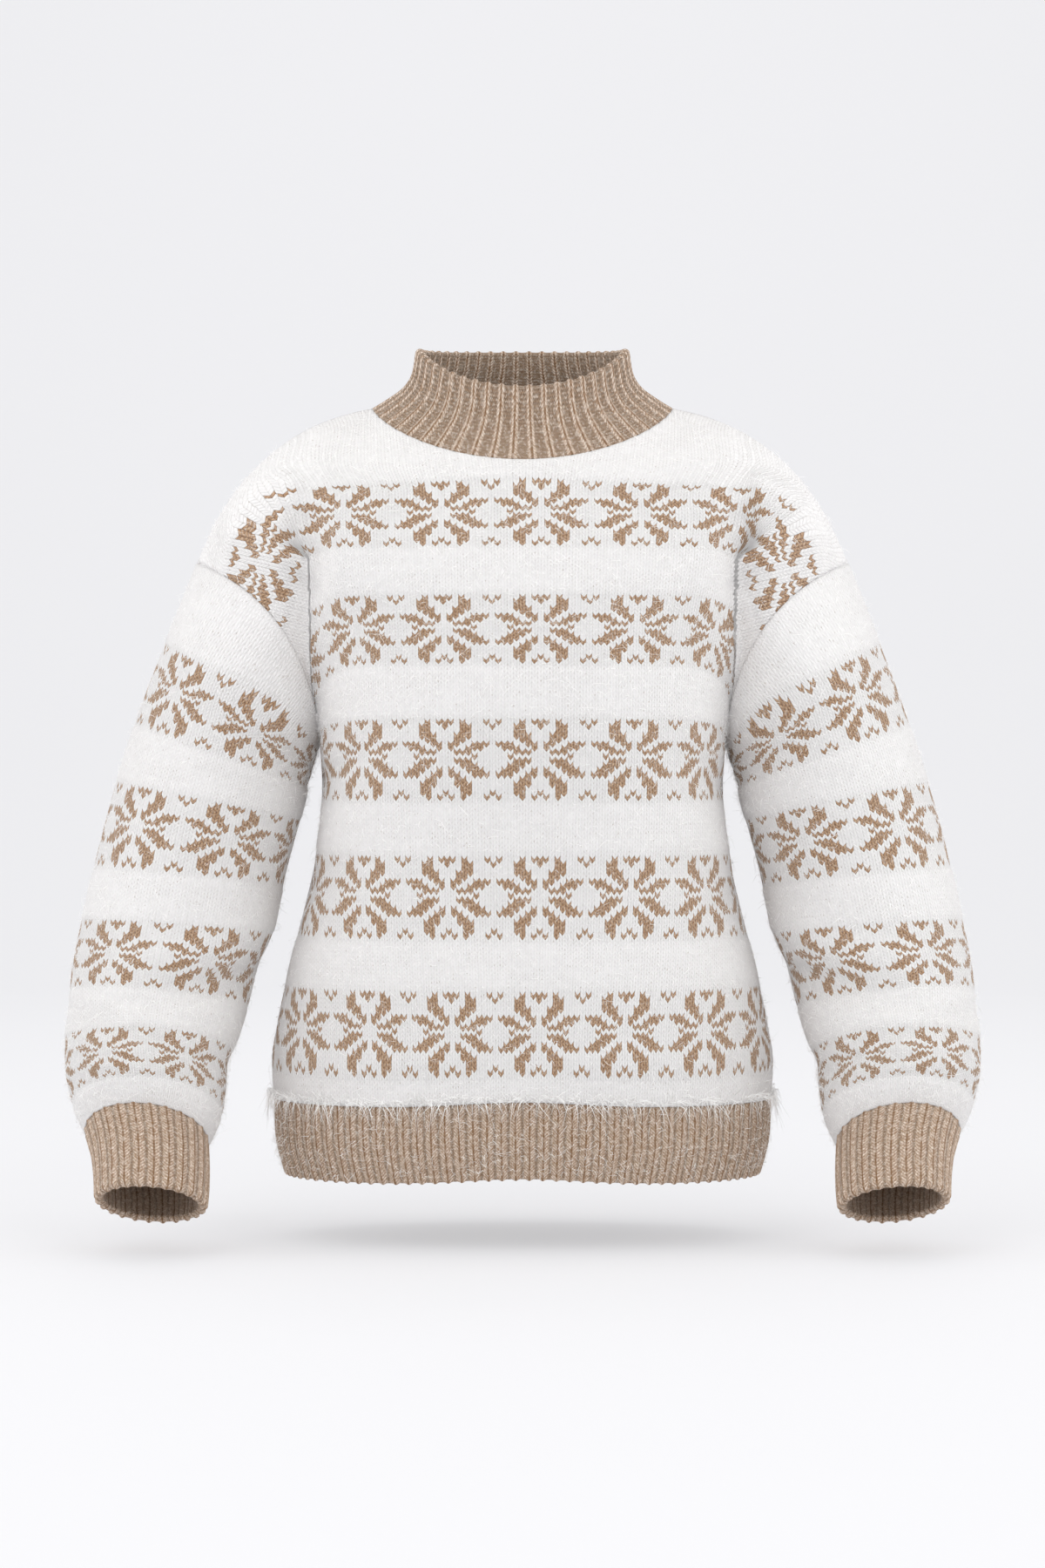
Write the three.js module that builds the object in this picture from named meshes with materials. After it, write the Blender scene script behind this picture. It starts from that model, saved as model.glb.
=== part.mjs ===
// Drop-shoulder jumper in the hollow form it has when it is worn: front, back,
// two sleeves and ribbed neck, cuffs and hem, each a closed wall of cloth.
// Millimetres. X runs across the body, the chest faces -Y and Z is up.
// The origin is the middle of the neck opening at the height of the shoulder points.
import * as THREE from 'three';

// Cloth
const WALL = 2.4; // knitted panel and sleeve
const HEM_WALL = 2.6; // single rib at the hem
const FOLDED_WALL = 6.4; // neck and cuff ribs are folded double
const SEAM_GAP = 0.3; // space between two pieces at a straight seam
const CURVED_SEAM_GAP = 0.6; // at the armholes and the neck, whose edges twist
const RIB_HEIGHT = 1.5; // how far a raised wale stands above the purl valley
const RIB_SHAPE = [
  { at: 0, height: 0 },
  { at: 0.5, height: 0 },
  { at: 0.75, height: 1 },
]; // one rib, as a share of its width and of its height

// Grid of a panel, counted from the centre line to one side
const NECK_COLUMNS = 12;
const SHOULDER_COLUMNS = 8;
const HALF_COLUMNS = NECK_COLUMNS + SHOULDER_COLUMNS;
const ARMHOLE_ROWS = 12; // rows of the panel along the armhole seam
const COURSE_ROWS = 9; // the lowest of those rows that run from side to side
const HEM_RIBS = 48; // on each panel
const NECK_RIBS = 4 * NECK_COLUMNS;
const SLEEVE_COLUMNS = 2 * ARMHOLE_ROWS;
const SLEEVE_ROWS = 18;
const CURVE_STEPS = 160; // points along a section before it is spaced evenly

// Body below the armholes, a row for each section
const BODY = [
  { z: -551, halfWidth: 199, front: 122, back: 117 },
  { z: -505, halfWidth: 198.5, front: 124.5, back: 117 },
  { z: -452, halfWidth: 188, front: 123, back: 113 },
  { z: -400, halfWidth: 175, front: 122, back: 110 },
  { z: -350, halfWidth: 164, front: 125, back: 110 },
  { z: -305, halfWidth: 161, front: 132, back: 113 },
];
const BODY_ROUNDNESS = 2.4; // 2 is an ellipse, more is squarer
const HEM_RISE = 5; // the hem lifts a little at the centre of front and back
const HEM_RISE_WIDTH = 70;

// Hem rib, top to bottom
const HEM = [
  { z: -551, halfWidth: 198, front: 121, back: 116 },
  { z: -584, halfWidth: 196.5, front: 120, back: 115 },
  { z: -610, halfWidth: 190, front: 115, back: 110 },
];

// Yoke: the chest and back between the armholes
const UNDERARM_LEVEL = -266;
const SHOULDER_LEVEL = -8; // level of the course that ends at the shoulder point
const YOKE = [
  { level: -266, front: 138, back: 117 },
  { level: -212, front: 140, back: 119 },
  { level: -155, front: 135, back: 118 },
  { level: -115, front: 126, back: 112 },
  { level: -72, front: 108, back: 100 },
];
const DROOP_START = 110; // distance from the centre where a course begins to fall
const DROOP_STEP = 4;
const DROOP_POWER = 2.3;
const CREASE_X = 167; // fold between chest and upper arm
const CREASE_WIDTH = 14;
// How far the fold lies behind the cloth on both sides of it, up the armhole rows
const CREASE_DEPTHS = [0, 0, 0, 0, 2, 15, 25, 20, 12, 5];
const BACK_CREASE = 0.45; // the back fold, as a share of the front one

// Armhole seam: an oval ring, from the shoulder point over the front to the underarm
const ARMHOLE = {
  x: 212,
  z: -195,
  halfLength: 86,
  halfDepth: 76,
  bow: 28,
  lean: THREE.MathUtils.degToRad(35),
  creaseDip: 0.26,
};

// Shoulder seam, a curve from the neck to the shoulder point
const SHOULDER = [
  { x: 120, z: 0 },
  { x: 185, z: -12 },
  { x: 225, z: -43 },
];
const NECK_SLOPE_POWER = 1.4;

// Neck rib from the seam to the rim
const NECK = [
  { halfWidth: 120, front: 95, back: 75, sideZ: 0, frontZ: -49, backZ: 8 },
  { halfWidth: 107, front: 86, back: 70, sideZ: 8, frontZ: -36, backZ: 20 },
  { halfWidth: 95, front: 78, back: 67, sideZ: 17, frontZ: -22, backZ: 31 },
  { halfWidth: 88, front: 72, back: 65, sideZ: 28, frontZ: -7, backZ: 41 },
  { halfWidth: 85, front: 68, back: 64, sideZ: 45, frontZ: 9, backZ: 50 },
];

// Sleeve sections below the armhole. Outer and inner are the edges seen from the front.
const SLEEVE = [
  { outerX: 283, outerZ: -178, innerX: 166, innerZ: -280, y: 0, halfDepth: 75, tilt: 0 },
  { outerX: 303, outerZ: -229, innerX: 170, innerZ: -296, y: 0, halfDepth: 73, tilt: 0 },
  { outerX: 321, outerZ: -284, innerX: 176, innerZ: -320, y: -2, halfDepth: 71, tilt: 1 },
  { outerX: 337, outerZ: -341, innerX: 187, innerZ: -361, y: -5, halfDepth: 70, tilt: 2 },
  { outerX: 350, outerZ: -399, innerX: 199, innerZ: -410, y: -10, halfDepth: 69, tilt: 4 },
  { outerX: 358, outerZ: -446, innerX: 213, innerZ: -458, y: -20, halfDepth: 67, tilt: 8 },
  { outerX: 361, outerZ: -490, innerX: 225, innerZ: -500, y: -38, halfDepth: 66, tilt: 15 },
  { outerX: 360, outerZ: -524, innerX: 232, innerZ: -530, y: -55, halfDepth: 64, tilt: 22 },
  { outerX: 353, outerZ: -552, innerX: 236, innerZ: -556, y: -70, halfDepth: 59, tilt: 30 },
  { outerX: 341, outerZ: -573, innerX: 246, innerZ: -579, y: -82, halfDepth: 48, tilt: 38 },
];

// Folds of the sleeve: where each lies down the sleeve and round it, how far it runs,
// and how high it stands. Around is 0 at the outer side, 90 at the front, 180 inside.
const FOLDS = [
  { down: 5.6, around: 120, slope: -0.9, run: 62, width: 0.38, height: 5 },
  { down: 6.35, around: 128, slope: -0.9, run: 60, width: 0.34, height: -5 },
  { down: 7.35, around: 62, slope: 1.0, run: 70, width: 0.36, height: -5 },
  { down: 6.3, around: 285, slope: 0.8, run: 60, width: 0.4, height: 4 },
  { down: 7.4, around: 215, slope: -0.7, run: 60, width: 0.4, height: -4 },
];

// Cuff from the sleeve seam to the rim
const CUFF = [
  { outerX: 341, outerZ: -573, innerX: 246, innerZ: -579, y: -82, halfDepth: 48, tilt: 38 },
  { outerX: 334, outerZ: -590, innerX: 244, innerZ: -596, y: -98, halfDepth: 46, tilt: 37 },
  { outerX: 330, outerZ: -606, innerX: 243, innerZ: -611, y: -113, halfDepth: 44, tilt: 33 },
  { outerX: 328, outerZ: -619, innerX: 243, innerZ: -623, y: -126, halfDepth: 42.5, tilt: 28 },
];

// Colours of the yarn
const WHITE_WOOL = { color: 0xf2efec, roughness: 0.95, metalness: 0 };
const BEIGE_WOOL = { color: 0xb39a83, roughness: 0.92, metalness: 0 };

const { clamp, degToRad, lerp, smoothstep } = THREE.MathUtils;
const point = (x, y, z) => new THREE.Vector3(x, y, z);

// Section helpers

function spacedEvenly(curve, count) {
  const along = [0];
  for (let i = 1; i < curve.length; i += 1) {
    along.push(along[i - 1] + curve[i].distanceTo(curve[i - 1]));
  }
  const total = along[along.length - 1];
  const result = [];
  let step = 0;
  for (let i = 0; i <= count; i += 1) {
    const wanted = (total * i) / count;
    while (step < curve.length - 2 && along[step + 1] < wanted) step += 1;
    const share = (wanted - along[step]) / (along[step + 1] - along[step]);
    result.push(curve[step].clone().lerp(curve[step + 1], clamp(share, 0, 1)));
  }
  return result;
}

function smoothValue(table, key, value, name) {
  const last = table.length - 1;
  let i = 0;
  while (i < last - 1 && table[i + 1][key] < value) i += 1;
  const share = clamp((value - table[i][key]) / (table[i + 1][key] - table[i][key]), 0, 1);
  const at = (k) => table[clamp(k, 0, last)][name];
  return catmullRom(at(i - 1), at(i), at(i + 1), at(i + 2), share);
}

function catmullRom(before, start, end, after, t) {
  const leave = (end - before) / 2;
  const arrive = (after - start) / 2;
  const rise = 2 * start - 2 * end + leave + arrive;
  const bend = -3 * start + 3 * end - 2 * leave - arrive;
  return ((rise * t + bend) * t + leave) * t + start;
}

function ovalPoint(angle, halfWidth, depth, roundness) {
  const across = Math.pow(Math.sin(angle), 2 / roundness);
  const deep = Math.pow(Math.max(Math.cos(angle), 0), 2 / roundness);
  return { x: halfWidth * across, y: depth * deep };
}

function hemLift(x) {
  return HEM_RISE * Math.exp(-((x / HEM_RISE_WIDTH) ** 2));
}

// Half of a flat section, from the centre line to the side seam
function flatHalfSection(section, face, lift, count) {
  const curve = [];
  for (let i = 0; i <= CURVE_STEPS; i += 1) {
    const angle = (Math.PI / 2) * (i / CURVE_STEPS);
    const oval = ovalPoint(angle, section.halfWidth, section[face], BODY_ROUNDNESS);
    curve.push(point(oval.x, oval.y, section.z + lift * hemLift(oval.x)));
  }
  return spacedEvenly(curve, count);
}

// Armhole seam on the +X side; depth is counted away from the shoulder line
function armholePoint(angle) {
  const along = ARMHOLE.halfLength * Math.cos(angle);
  const bow = ARMHOLE.bow * Math.sin(angle) ** 2;
  const alongX = Math.sin(ARMHOLE.lean);
  const alongZ = Math.cos(ARMHOLE.lean);
  const dip = 1 - ARMHOLE.creaseDip * smoothstep(angle, degToRad(80), degToRad(125));
  return point(
    ARMHOLE.x + along * alongX - bow * alongZ,
    ARMHOLE.halfDepth * Math.sin(angle) * dip,
    ARMHOLE.z + along * alongZ + bow * alongX,
  );
}

// Half of a course of the yoke, from the centre line to the armhole seam
function yokeHalfCourse(row, face) {
  const share = row / ARMHOLE_ROWS;
  const level = lerp(UNDERARM_LEVEL, SHOULDER_LEVEL, share);
  const end = armholePoint(Math.PI * (1 - share));
  const depth = smoothValue(YOKE, 'level', level, face);
  const fullness = 1 - (end.y / depth) ** BODY_ROUNDNESS;
  const halfWidth = end.x / Math.pow(fullness, 1 / BODY_ROUNDNESS);
  const lastAngle = Math.asin(Math.pow(end.x / halfWidth, BODY_ROUNDNESS / 2));
  const start = DROOP_START + DROOP_STEP * row;
  const creaseDepth = CREASE_DEPTHS[row] * (face === 'front' ? 1 : BACK_CREASE);
  const curve = [];
  for (let i = 0; i <= CURVE_STEPS; i += 1) {
    const angle = lastAngle * (i / CURVE_STEPS);
    const oval = ovalPoint(angle, halfWidth, depth, BODY_ROUNDNESS);
    const beyond = clamp((oval.x - start) / (end.x - start), 0, 1);
    const fall = 1 - Math.pow(1 - beyond ** DROOP_POWER, 1 / DROOP_POWER);
    const near = Math.exp(-(((oval.x - CREASE_X) / CREASE_WIDTH) ** 2));
    const crease = creaseDepth * near * (1 - beyond ** 6);
    curve.push(point(oval.x, oval.y - crease, level + (end.z - level) * fall));
  }
  return spacedEvenly(curve, HALF_COLUMNS);
}

function neckPoint(angle, section) {
  const face = Math.cos(angle) >= 0 ? 'front' : 'back';
  const turn = Math.abs(Math.cos(angle));
  const slope = Math.pow(turn, NECK_SLOPE_POWER);
  return point(
    section.halfWidth * Math.sin(angle),
    section[face] * turn,
    lerp(section.sideZ, section[`${face}Z`], slope),
  );
}

function shoulderPoint(share) {
  const tip = armholePoint(0);
  const ends = [...SHOULDER, { x: tip.x, z: tip.z }];
  const corners = ends.map((end) => point(end.x, 0, end.z));
  return new THREE.CubicBezierCurve3(...corners).getPoint(share);
}

// Top edge of a panel: half the neck curve, then the shoulder seam
function topHalfEdge(face) {
  const edge = [];
  for (let i = 0; i <= HALF_COLUMNS; i += 1) {
    if (i <= NECK_COLUMNS) {
      const turn = (Math.PI / 2) * (i / NECK_COLUMNS);
      edge.push(neckPoint(face === 'front' ? turn : Math.PI - turn, NECK[0]));
    } else {
      edge.push(shoulderPoint((i - NECK_COLUMNS) / SHOULDER_COLUMNS));
    }
  }
  return edge;
}

// Rows between the highest whole course and the top edge, rounded over the shoulder
function crownHalfRow(row, below, course, top) {
  const steps = ARMHOLE_ROWS - COURSE_ROWS;
  const t = (row - COURSE_ROWS) / steps;
  const edge = armholePoint(Math.PI * (1 - row / ARMHOLE_ROWS));
  const result = course.map((start, i) => {
    const end = top[i];
    const leave = start.clone().sub(below[i]).multiplyScalar(steps * 0.8);
    const straight = end.clone().sub(start);
    const level = point(straight.x * 0.4, straight.y * 1.25, straight.z * 0.1);
    const onShoulder = smoothstep(i, NECK_COLUMNS - 3, NECK_COLUMNS + 2);
    const arrive = straight.clone().lerp(level, onShoulder);
    const place = start.clone().multiplyScalar((1 + 2 * t) * (1 - t) ** 2);
    place.addScaledVector(leave, t * (1 - t) ** 2);
    place.addScaledVector(end, t * t * (3 - 2 * t));
    place.addScaledVector(arrive, t * t * (t - 1));
    return place;
  });
  const miss = edge.sub(result[HALF_COLUMNS]);
  result.forEach((place, i) => place.addScaledVector(miss, (i / HALF_COLUMNS) ** 6));
  return result;
}

// Both halves of a row side by side, with the depth turned to the front or the back
function wholeRow(half, face) {
  const sign = face === 'front' ? -1 : 1;
  const right = half.map((p) => point(p.x, sign * p.y, p.z));
  const left = right.slice(1).reverse().map((p) => point(-p.x, p.y, p.z));
  return [...left, ...right];
}

function panelRows(face) {
  const lower = BODY.map((section, i) => {
    const lift = i === 0 ? 1 : 0;
    return flatHalfSection(section, face, lift, HALF_COLUMNS);
  });
  const courses = [];
  for (let row = 0; row <= COURSE_ROWS; row += 1) courses.push(yokeHalfCourse(row, face));
  const top = topHalfEdge(face);
  const crown = [];
  for (let row = COURSE_ROWS + 1; row < ARMHOLE_ROWS; row += 1) {
    crown.push(crownHalfRow(row, courses[COURSE_ROWS - 1], courses[COURSE_ROWS], top));
  }
  return [...lower, ...courses, ...crown, top].map((half) => wholeRow(half, face));
}

// Sleeves and cuffs

function sectionRing(section, columns) {
  const outer = point(section.outerX, section.y, section.outerZ);
  const inner = point(section.innerX, section.y, section.innerZ);
  const middle = outer.clone().lerp(inner, 0.5);
  const out = outer.clone().sub(middle);
  const tilt = degToRad(section.tilt);
  const forward = point(0, -Math.cos(tilt), Math.sin(tilt)).multiplyScalar(section.halfDepth);
  const ring = [];
  for (let i = 0; i < columns; i += 1) {
    const angle = (2 * Math.PI * i) / columns;
    const place = middle.clone().addScaledVector(out, Math.cos(angle));
    ring.push(place.addScaledVector(forward, Math.sin(angle)));
  }
  return ring;
}

function armholeRing() {
  const ring = [];
  for (let i = 0; i < SLEEVE_COLUMNS; i += 1) {
    const angle = (2 * Math.PI * i) / SLEEVE_COLUMNS;
    const seam = armholePoint(angle <= Math.PI ? angle : 2 * Math.PI - angle);
    ring.push(point(seam.x, angle <= Math.PI ? -seam.y : seam.y, seam.z));
  }
  return ring;
}

function foldHeight(down, around) {
  let height = 0;
  for (const fold of FOLDS) {
    const turn = ((around - fold.around + 540) % 360) - 180;
    const offset = down - fold.down - (fold.slope * turn) / 100;
    height += fold.height * Math.exp(-((turn / fold.run) ** 2) - (offset / fold.width) ** 2);
  }
  return height;
}

function sleeveRows() {
  const rings = [armholeRing(), ...SLEEVE.map((section) => sectionRing(section, SLEEVE_COLUMNS))];
  const last = rings.length - 1;
  const rows = [];
  for (let row = 0; row <= SLEEVE_ROWS; row += 1) {
    const down = (last * row) / SLEEVE_ROWS;
    const k = Math.min(Math.floor(down), last - 1);
    const ring = [];
    const middle = point(0, 0, 0);
    for (let i = 0; i < SLEEVE_COLUMNS; i += 1) {
      const near = [k - 1, k, k + 1, k + 2].map((n) => rings[clamp(n, 0, last)][i]);
      const along = ['x', 'y', 'z'].map((axis) => catmullRom(...near.map((p) => p[axis]), down - k));
      ring.push(point(...along));
      middle.addScaledVector(ring[i], 1 / SLEEVE_COLUMNS);
    }
    ring.forEach((p, i) => {
      const away = p.clone().sub(middle).normalize();
      p.addScaledVector(away, foldHeight(down, (360 * i) / SLEEVE_COLUMNS));
    });
    rows.push(ring);
  }
  return rows;
}

function mirrored(rows) {
  return rows.map((row) => row.map((p) => point(-p.x, p.y, p.z)));
}

// Walls

// Outward directions of a grid, from its neighbours along rows and columns
function gridNormals(rows, closed, sign) {
  const last = rows.length - 1;
  return rows.map((row, r) => row.map((_, c) => {
    const count = row.length;
    const after = closed ? (c + 1) % count : Math.min(c + 1, count - 1);
    const before = closed ? (c + count - 1) % count : Math.max(c - 1, 0);
    const across = row[after].clone().sub(row[before]);
    const up = rows[Math.min(r + 1, last)][c].clone().sub(rows[Math.max(r - 1, 0)][c]);
    return across.cross(up).multiplyScalar(sign).normalize();
  }));
}

function offsetRows(rows, normals, distance) {
  return rows.map((row, r) => row.map((p, c) => p.clone().addScaledVector(normals[r][c], -distance)));
}

function flattened(normal, axis) {
  const flat = normal.clone();
  flat[axis] = 0;
  return flat.normalize();
}

// A closed wall from an outer grid and a plain inner grid, whose columns may be fewer
function wallMesh(name, outer, inner, closed, sign, look) {
  const positions = [];
  const faces = [];
  const storePoint = (p) => positions.push(p.x, p.y, p.z) / 3 - 1;
  const store = (rows) => rows.map((row) => row.map(storePoint));
  const out = store(outer);
  const inn = store(inner);
  const face = (a, b, c) => faces.push(...(sign > 0 ? [a, b, c] : [a, c, b]));
  const segments = (row) => (closed ? row.length : row.length - 1);
  const skin = (grid, facing) => {
    for (let r = 0; r < grid.length - 1; r += 1) {
      for (let c = 0; c < segments(grid[r]); c += 1) {
        const d = (c + 1) % grid[r].length;
        const corners = [grid[r][c], grid[r][d], grid[r + 1][d], grid[r + 1][c]];
        if (!facing) corners.reverse();
        face(corners[0], corners[1], corners[2]);
        face(corners[0], corners[2], corners[3]);
      }
    }
  };
  // Edge strip along the first or last row, a fan of outer points for each inner step
  const edge = (outRow, inRow, facing) => {
    const ratio = segments(outRow) / segments(inRow);
    const turn = (a, b, c) => (facing ? face(a, b, c) : face(a, c, b));
    for (let k = 0; k < segments(inRow); k += 1) {
      const near = inRow[k];
      const next = inRow[(k + 1) % inRow.length];
      for (let step = 0; step < ratio; step += 1) {
        const a = outRow[k * ratio + step];
        const b = outRow[(k * ratio + step + 1) % outRow.length];
        turn(b, a, near);
      }
      turn(outRow[((k + 1) * ratio) % outRow.length], near, next);
    }
  };
  skin(out, true);
  skin(inn, false);
  const top = out.length - 1;
  edge(out[0], inn[0], true);
  edge(out[top], inn[top], false);
  if (!closed) {
    edge(out.map((row) => row[0]), inn.map((row) => row[0]), false);
    edge(out.map((row) => row[row.length - 1]), inn.map((row) => row[row.length - 1]), true);
  }
  const geometry = new THREE.BufferGeometry();
  geometry.setAttribute('position', new THREE.Float32BufferAttribute(positions, 3));
  geometry.setIndex(faces);
  geometry.computeVertexNormals();
  const mesh = new THREE.Mesh(geometry, new THREE.MeshStandardMaterial(look));
  mesh.name = name;
  return mesh;
}

// Raised ribs: each step of a plain grid becomes one rib on the outer side
function ribbed(rows, normals, closed) {
  return rows.map((row, r) => {
    const result = [];
    const steps = closed ? row.length : row.length - 1;
    for (let c = 0; c < steps; c += 1) {
      const d = (c + 1) % row.length;
      for (const shape of RIB_SHAPE) {
        const place = row[c].clone().lerp(row[d], shape.at);
        const normal = normals[r][c].clone().lerp(normals[r][d], shape.at);
        result.push(place.addScaledVector(normal, shape.height * RIB_HEIGHT));
      }
    }
    if (!closed) result.push(row[row.length - 1].clone());
    return result;
  });
}

function ribbedMesh(name, rows, normals, wall, closed, sign) {
  const outer = ribbed(rows, normals, closed);
  return wallMesh(name, outer, offsetRows(rows, normals, wall), closed, sign, BEIGE_WOOL);
}

// Seams

// Both pieces at a seam share the direction of their edge, so that the edges lie face to face
function shareSeam(first, second) {
  first.forEach((normal, i) => {
    normal.add(second[i]).normalize();
    second[i].copy(normal);
  });
}

// Moves the edge ring of a piece off the seam, towards the piece itself
function liftEdge(rows, normals, gap) {
  const ring = rows[0];
  const moves = ring.map((p, i) => {
    const next = ring[(i + 1) % ring.length];
    const before = ring[(i + ring.length - 1) % ring.length];
    const away = next.clone().sub(before).cross(normals[0][i]).normalize();
    const inside = rows[1][i].clone().sub(p);
    return away.multiplyScalar(gap * Math.sign(away.dot(inside)));
  });
  ring.forEach((p, i) => p.add(moves[i]));
}

const sides = ['front', 'back'];
const panels = {};
for (const face of sides) {
  const rows = panelRows(face);
  const normals = gridNormals(rows, false, face === 'front' ? 1 : -1);
  panels[face] = { rows, normals };
}

// Side and shoulder seams: the edges of front and back face each other across y = 0
const topRow = panels.front.rows.length - 1;
const lastColumn = 2 * HALF_COLUMNS;
for (const face of sides) {
  const { normals } = panels[face];
  for (let r = 0; r <= BODY.length; r += 1) {
    for (const c of [0, lastColumn]) normals[r][c] = point(c === 0 ? -1 : 1, 0, 0);
  }
  normals[0] = normals[0].map((normal) => flattened(normal, 'z'));
}
const onShoulder = (c) => Math.abs(c - HALF_COLUMNS) >= NECK_COLUMNS;
for (let c = 0; c <= lastColumn; c += 1) {
  if (onShoulder(c)) {
    const shared = panels.front.normals[topRow][c].clone().add(panels.back.normals[topRow][c]);
    for (const face of sides) panels[face].normals[topRow][c] = flattened(shared, 'y');
  }
}

// Sleeves, joined to the armhole edges of front and back
const armholeEdge = (c) => {
  const edge = [];
  for (let i = 0; i < SLEEVE_COLUMNS; i += 1) {
    const face = i <= ARMHOLE_ROWS ? 'front' : 'back';
    const down = i <= ARMHOLE_ROWS ? i : SLEEVE_COLUMNS - i;
    edge.push(panels[face].normals[topRow - down][c]);
  }
  return edge;
};
const rightRows = sleeveRows();
const sleeves = [
  { side: 'left', rows: mirrored(rightRows), column: 0, sign: -1 },
  { side: 'right', rows: rightRows, column: lastColumn, sign: 1 },
];
for (const sleeve of sleeves) {
  sleeve.normals = gridNormals(sleeve.rows, true, sleeve.sign);
  shareSeam(armholeEdge(sleeve.column), sleeve.normals[0]);
  for (const [row, down] of [[topRow, 0], [BODY.length, ARMHOLE_ROWS]]) {
    const shared = flattened(sleeve.normals[0][down], 'y');
    sleeve.normals[0][down] = shared;
    for (const face of sides) panels[face].normals[row][sleeve.column] = shared.clone();
  }
  liftEdge(sleeve.rows, sleeve.normals, CURVED_SEAM_GAP);
}

// Neck rib, joined to the neck edges of front and back
const neckRows = NECK.map((section) => {
  const ring = [];
  for (let i = 0; i < NECK_RIBS; i += 1) {
    const p = neckPoint((2 * Math.PI * i) / NECK_RIBS, section);
    ring.push(point(p.x, i < NECK_COLUMNS || i > 3 * NECK_COLUMNS ? -p.y : p.y, p.z));
  }
  return ring;
});
const neckNormals = gridNormals(neckRows, true, 1);
const neckEdge = [];
for (let i = 0; i < NECK_RIBS; i += 1) {
  const turn = i <= 2 * NECK_COLUMNS ? i : i - NECK_RIBS;
  const face = Math.abs(turn) <= NECK_COLUMNS ? 'front' : 'back';
  const across = face === 'front' ? turn : Math.sign(turn) * (2 * NECK_COLUMNS - Math.abs(turn));
  neckEdge.push(panels[face].normals[topRow][HALF_COLUMNS + across]);
}
shareSeam(neckEdge, neckNormals[0]);
for (const turn of [NECK_COLUMNS, 3 * NECK_COLUMNS]) {
  const shared = flattened(neckNormals[0][turn], 'y');
  neckNormals[0][turn] = shared;
  const c = HALF_COLUMNS + (turn === NECK_COLUMNS ? NECK_COLUMNS : -NECK_COLUMNS);
  for (const face of sides) panels[face].normals[topRow][c] = shared.clone();
}
liftEdge(neckRows, neckNormals, CURVED_SEAM_GAP);

// Half the seam gap on each side of y = 0, along the side and shoulder seams
for (const face of sides) {
  const step = (face === 'front' ? -1 : 1) * (SEAM_GAP / 2);
  panels[face].rows.forEach((row, r) => {
    row.forEach((p, c) => {
      const onSide = r <= BODY.length && (c === 0 || c === lastColumn);
      if (onSide || (r === topRow && onShoulder(c))) p.y = step;
    });
  });
}

const sweater = new THREE.Group();

for (const face of sides) {
  const { rows, normals } = panels[face];
  const inner = offsetRows(rows, normals, WALL);
  const sign = face === 'front' ? 1 : -1;
  sweater.add(wallMesh(`${face}_panel`, rows, inner, false, sign, WHITE_WOOL));
}

for (const { side, rows, normals, sign } of sleeves) {
  const inner = offsetRows(rows, normals, WALL);
  sweater.add(wallMesh(`${side}_sleeve`, rows, inner, true, sign, WHITE_WOOL));
}

sweater.add(ribbedMesh('neck_rib', neckRows, neckNormals, FOLDED_WALL, true, 1));

for (const { side, rows, normals, sign } of sleeves) {
  let cuffRows = CUFF.map((section) => sectionRing(section, SLEEVE_COLUMNS));
  if (side === 'left') cuffRows = mirrored(cuffRows);
  const cuffNormals = gridNormals(cuffRows, true, sign);
  cuffNormals[0] = normals[SLEEVE_ROWS].map((normal) => normal.clone());
  liftEdge(cuffRows, cuffNormals, SEAM_GAP);
  sweater.add(ribbedMesh(`${side}_cuff`, cuffRows, cuffNormals, FOLDED_WALL, true, sign));
}

for (const face of sides) {
  const halves = HEM.map((section) => flatHalfSection(section, face, 1, HEM_RIBS / 2));
  const rows = halves.map((half) => wholeRow(half, face)).reverse();
  const sign = face === 'front' ? 1 : -1;
  const normals = gridNormals(rows, false, sign);
  const step = -sign * (SEAM_GAP / 2);
  const top = rows.length - 1;
  rows.forEach((row, r) => {
    for (const c of [0, row.length - 1]) {
      row[c].y = step;
      normals[r][c] = point(c === 0 ? -1 : 1, 0, 0);
    }
  });
  normals[top] = normals[top].map((normal) => flattened(normal, 'z'));
  rows[top].forEach((p) => {
    p.z -= SEAM_GAP;
  });
  sweater.add(ribbedMesh(`hem_${face}`, rows, normals, HEM_WALL, false, sign));
}

export default sweater;
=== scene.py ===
"""Dresses the hollow jumper: knitted front, back and sleeves with snowflake bands,
ribbed neck, cuffs and hem, and the long soft hair of the brushed yarn."""
import math

import bpy
import numpy as np
from bpy.props import FloatProperty, FloatVectorProperty, IntProperty, PointerProperty
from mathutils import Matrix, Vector


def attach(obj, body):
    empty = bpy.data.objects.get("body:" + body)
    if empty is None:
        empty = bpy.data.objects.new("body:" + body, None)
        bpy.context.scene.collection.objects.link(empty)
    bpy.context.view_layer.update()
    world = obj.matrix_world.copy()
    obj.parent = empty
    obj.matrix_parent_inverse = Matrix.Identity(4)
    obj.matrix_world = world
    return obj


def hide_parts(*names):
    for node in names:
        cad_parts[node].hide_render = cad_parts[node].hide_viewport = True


bl_info = {
    "name": "Snowflake jumper",
    "version": (1, 0, 0),
    "blender": (4, 5, 0),
    "location": "View3D > Sidebar > Jumper",
    "description": "Builds a brushed snowflake jumper over its cut pieces",
    "category": "Object",
}

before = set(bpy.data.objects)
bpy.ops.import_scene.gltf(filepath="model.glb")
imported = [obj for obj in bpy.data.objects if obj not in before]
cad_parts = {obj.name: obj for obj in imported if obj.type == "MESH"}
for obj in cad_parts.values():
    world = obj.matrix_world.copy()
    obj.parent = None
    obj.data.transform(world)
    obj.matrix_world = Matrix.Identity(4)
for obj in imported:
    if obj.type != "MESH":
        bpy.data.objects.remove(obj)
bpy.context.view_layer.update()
MM = 0.001
MIRROR = np.array([-1, 1, 1])
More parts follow.
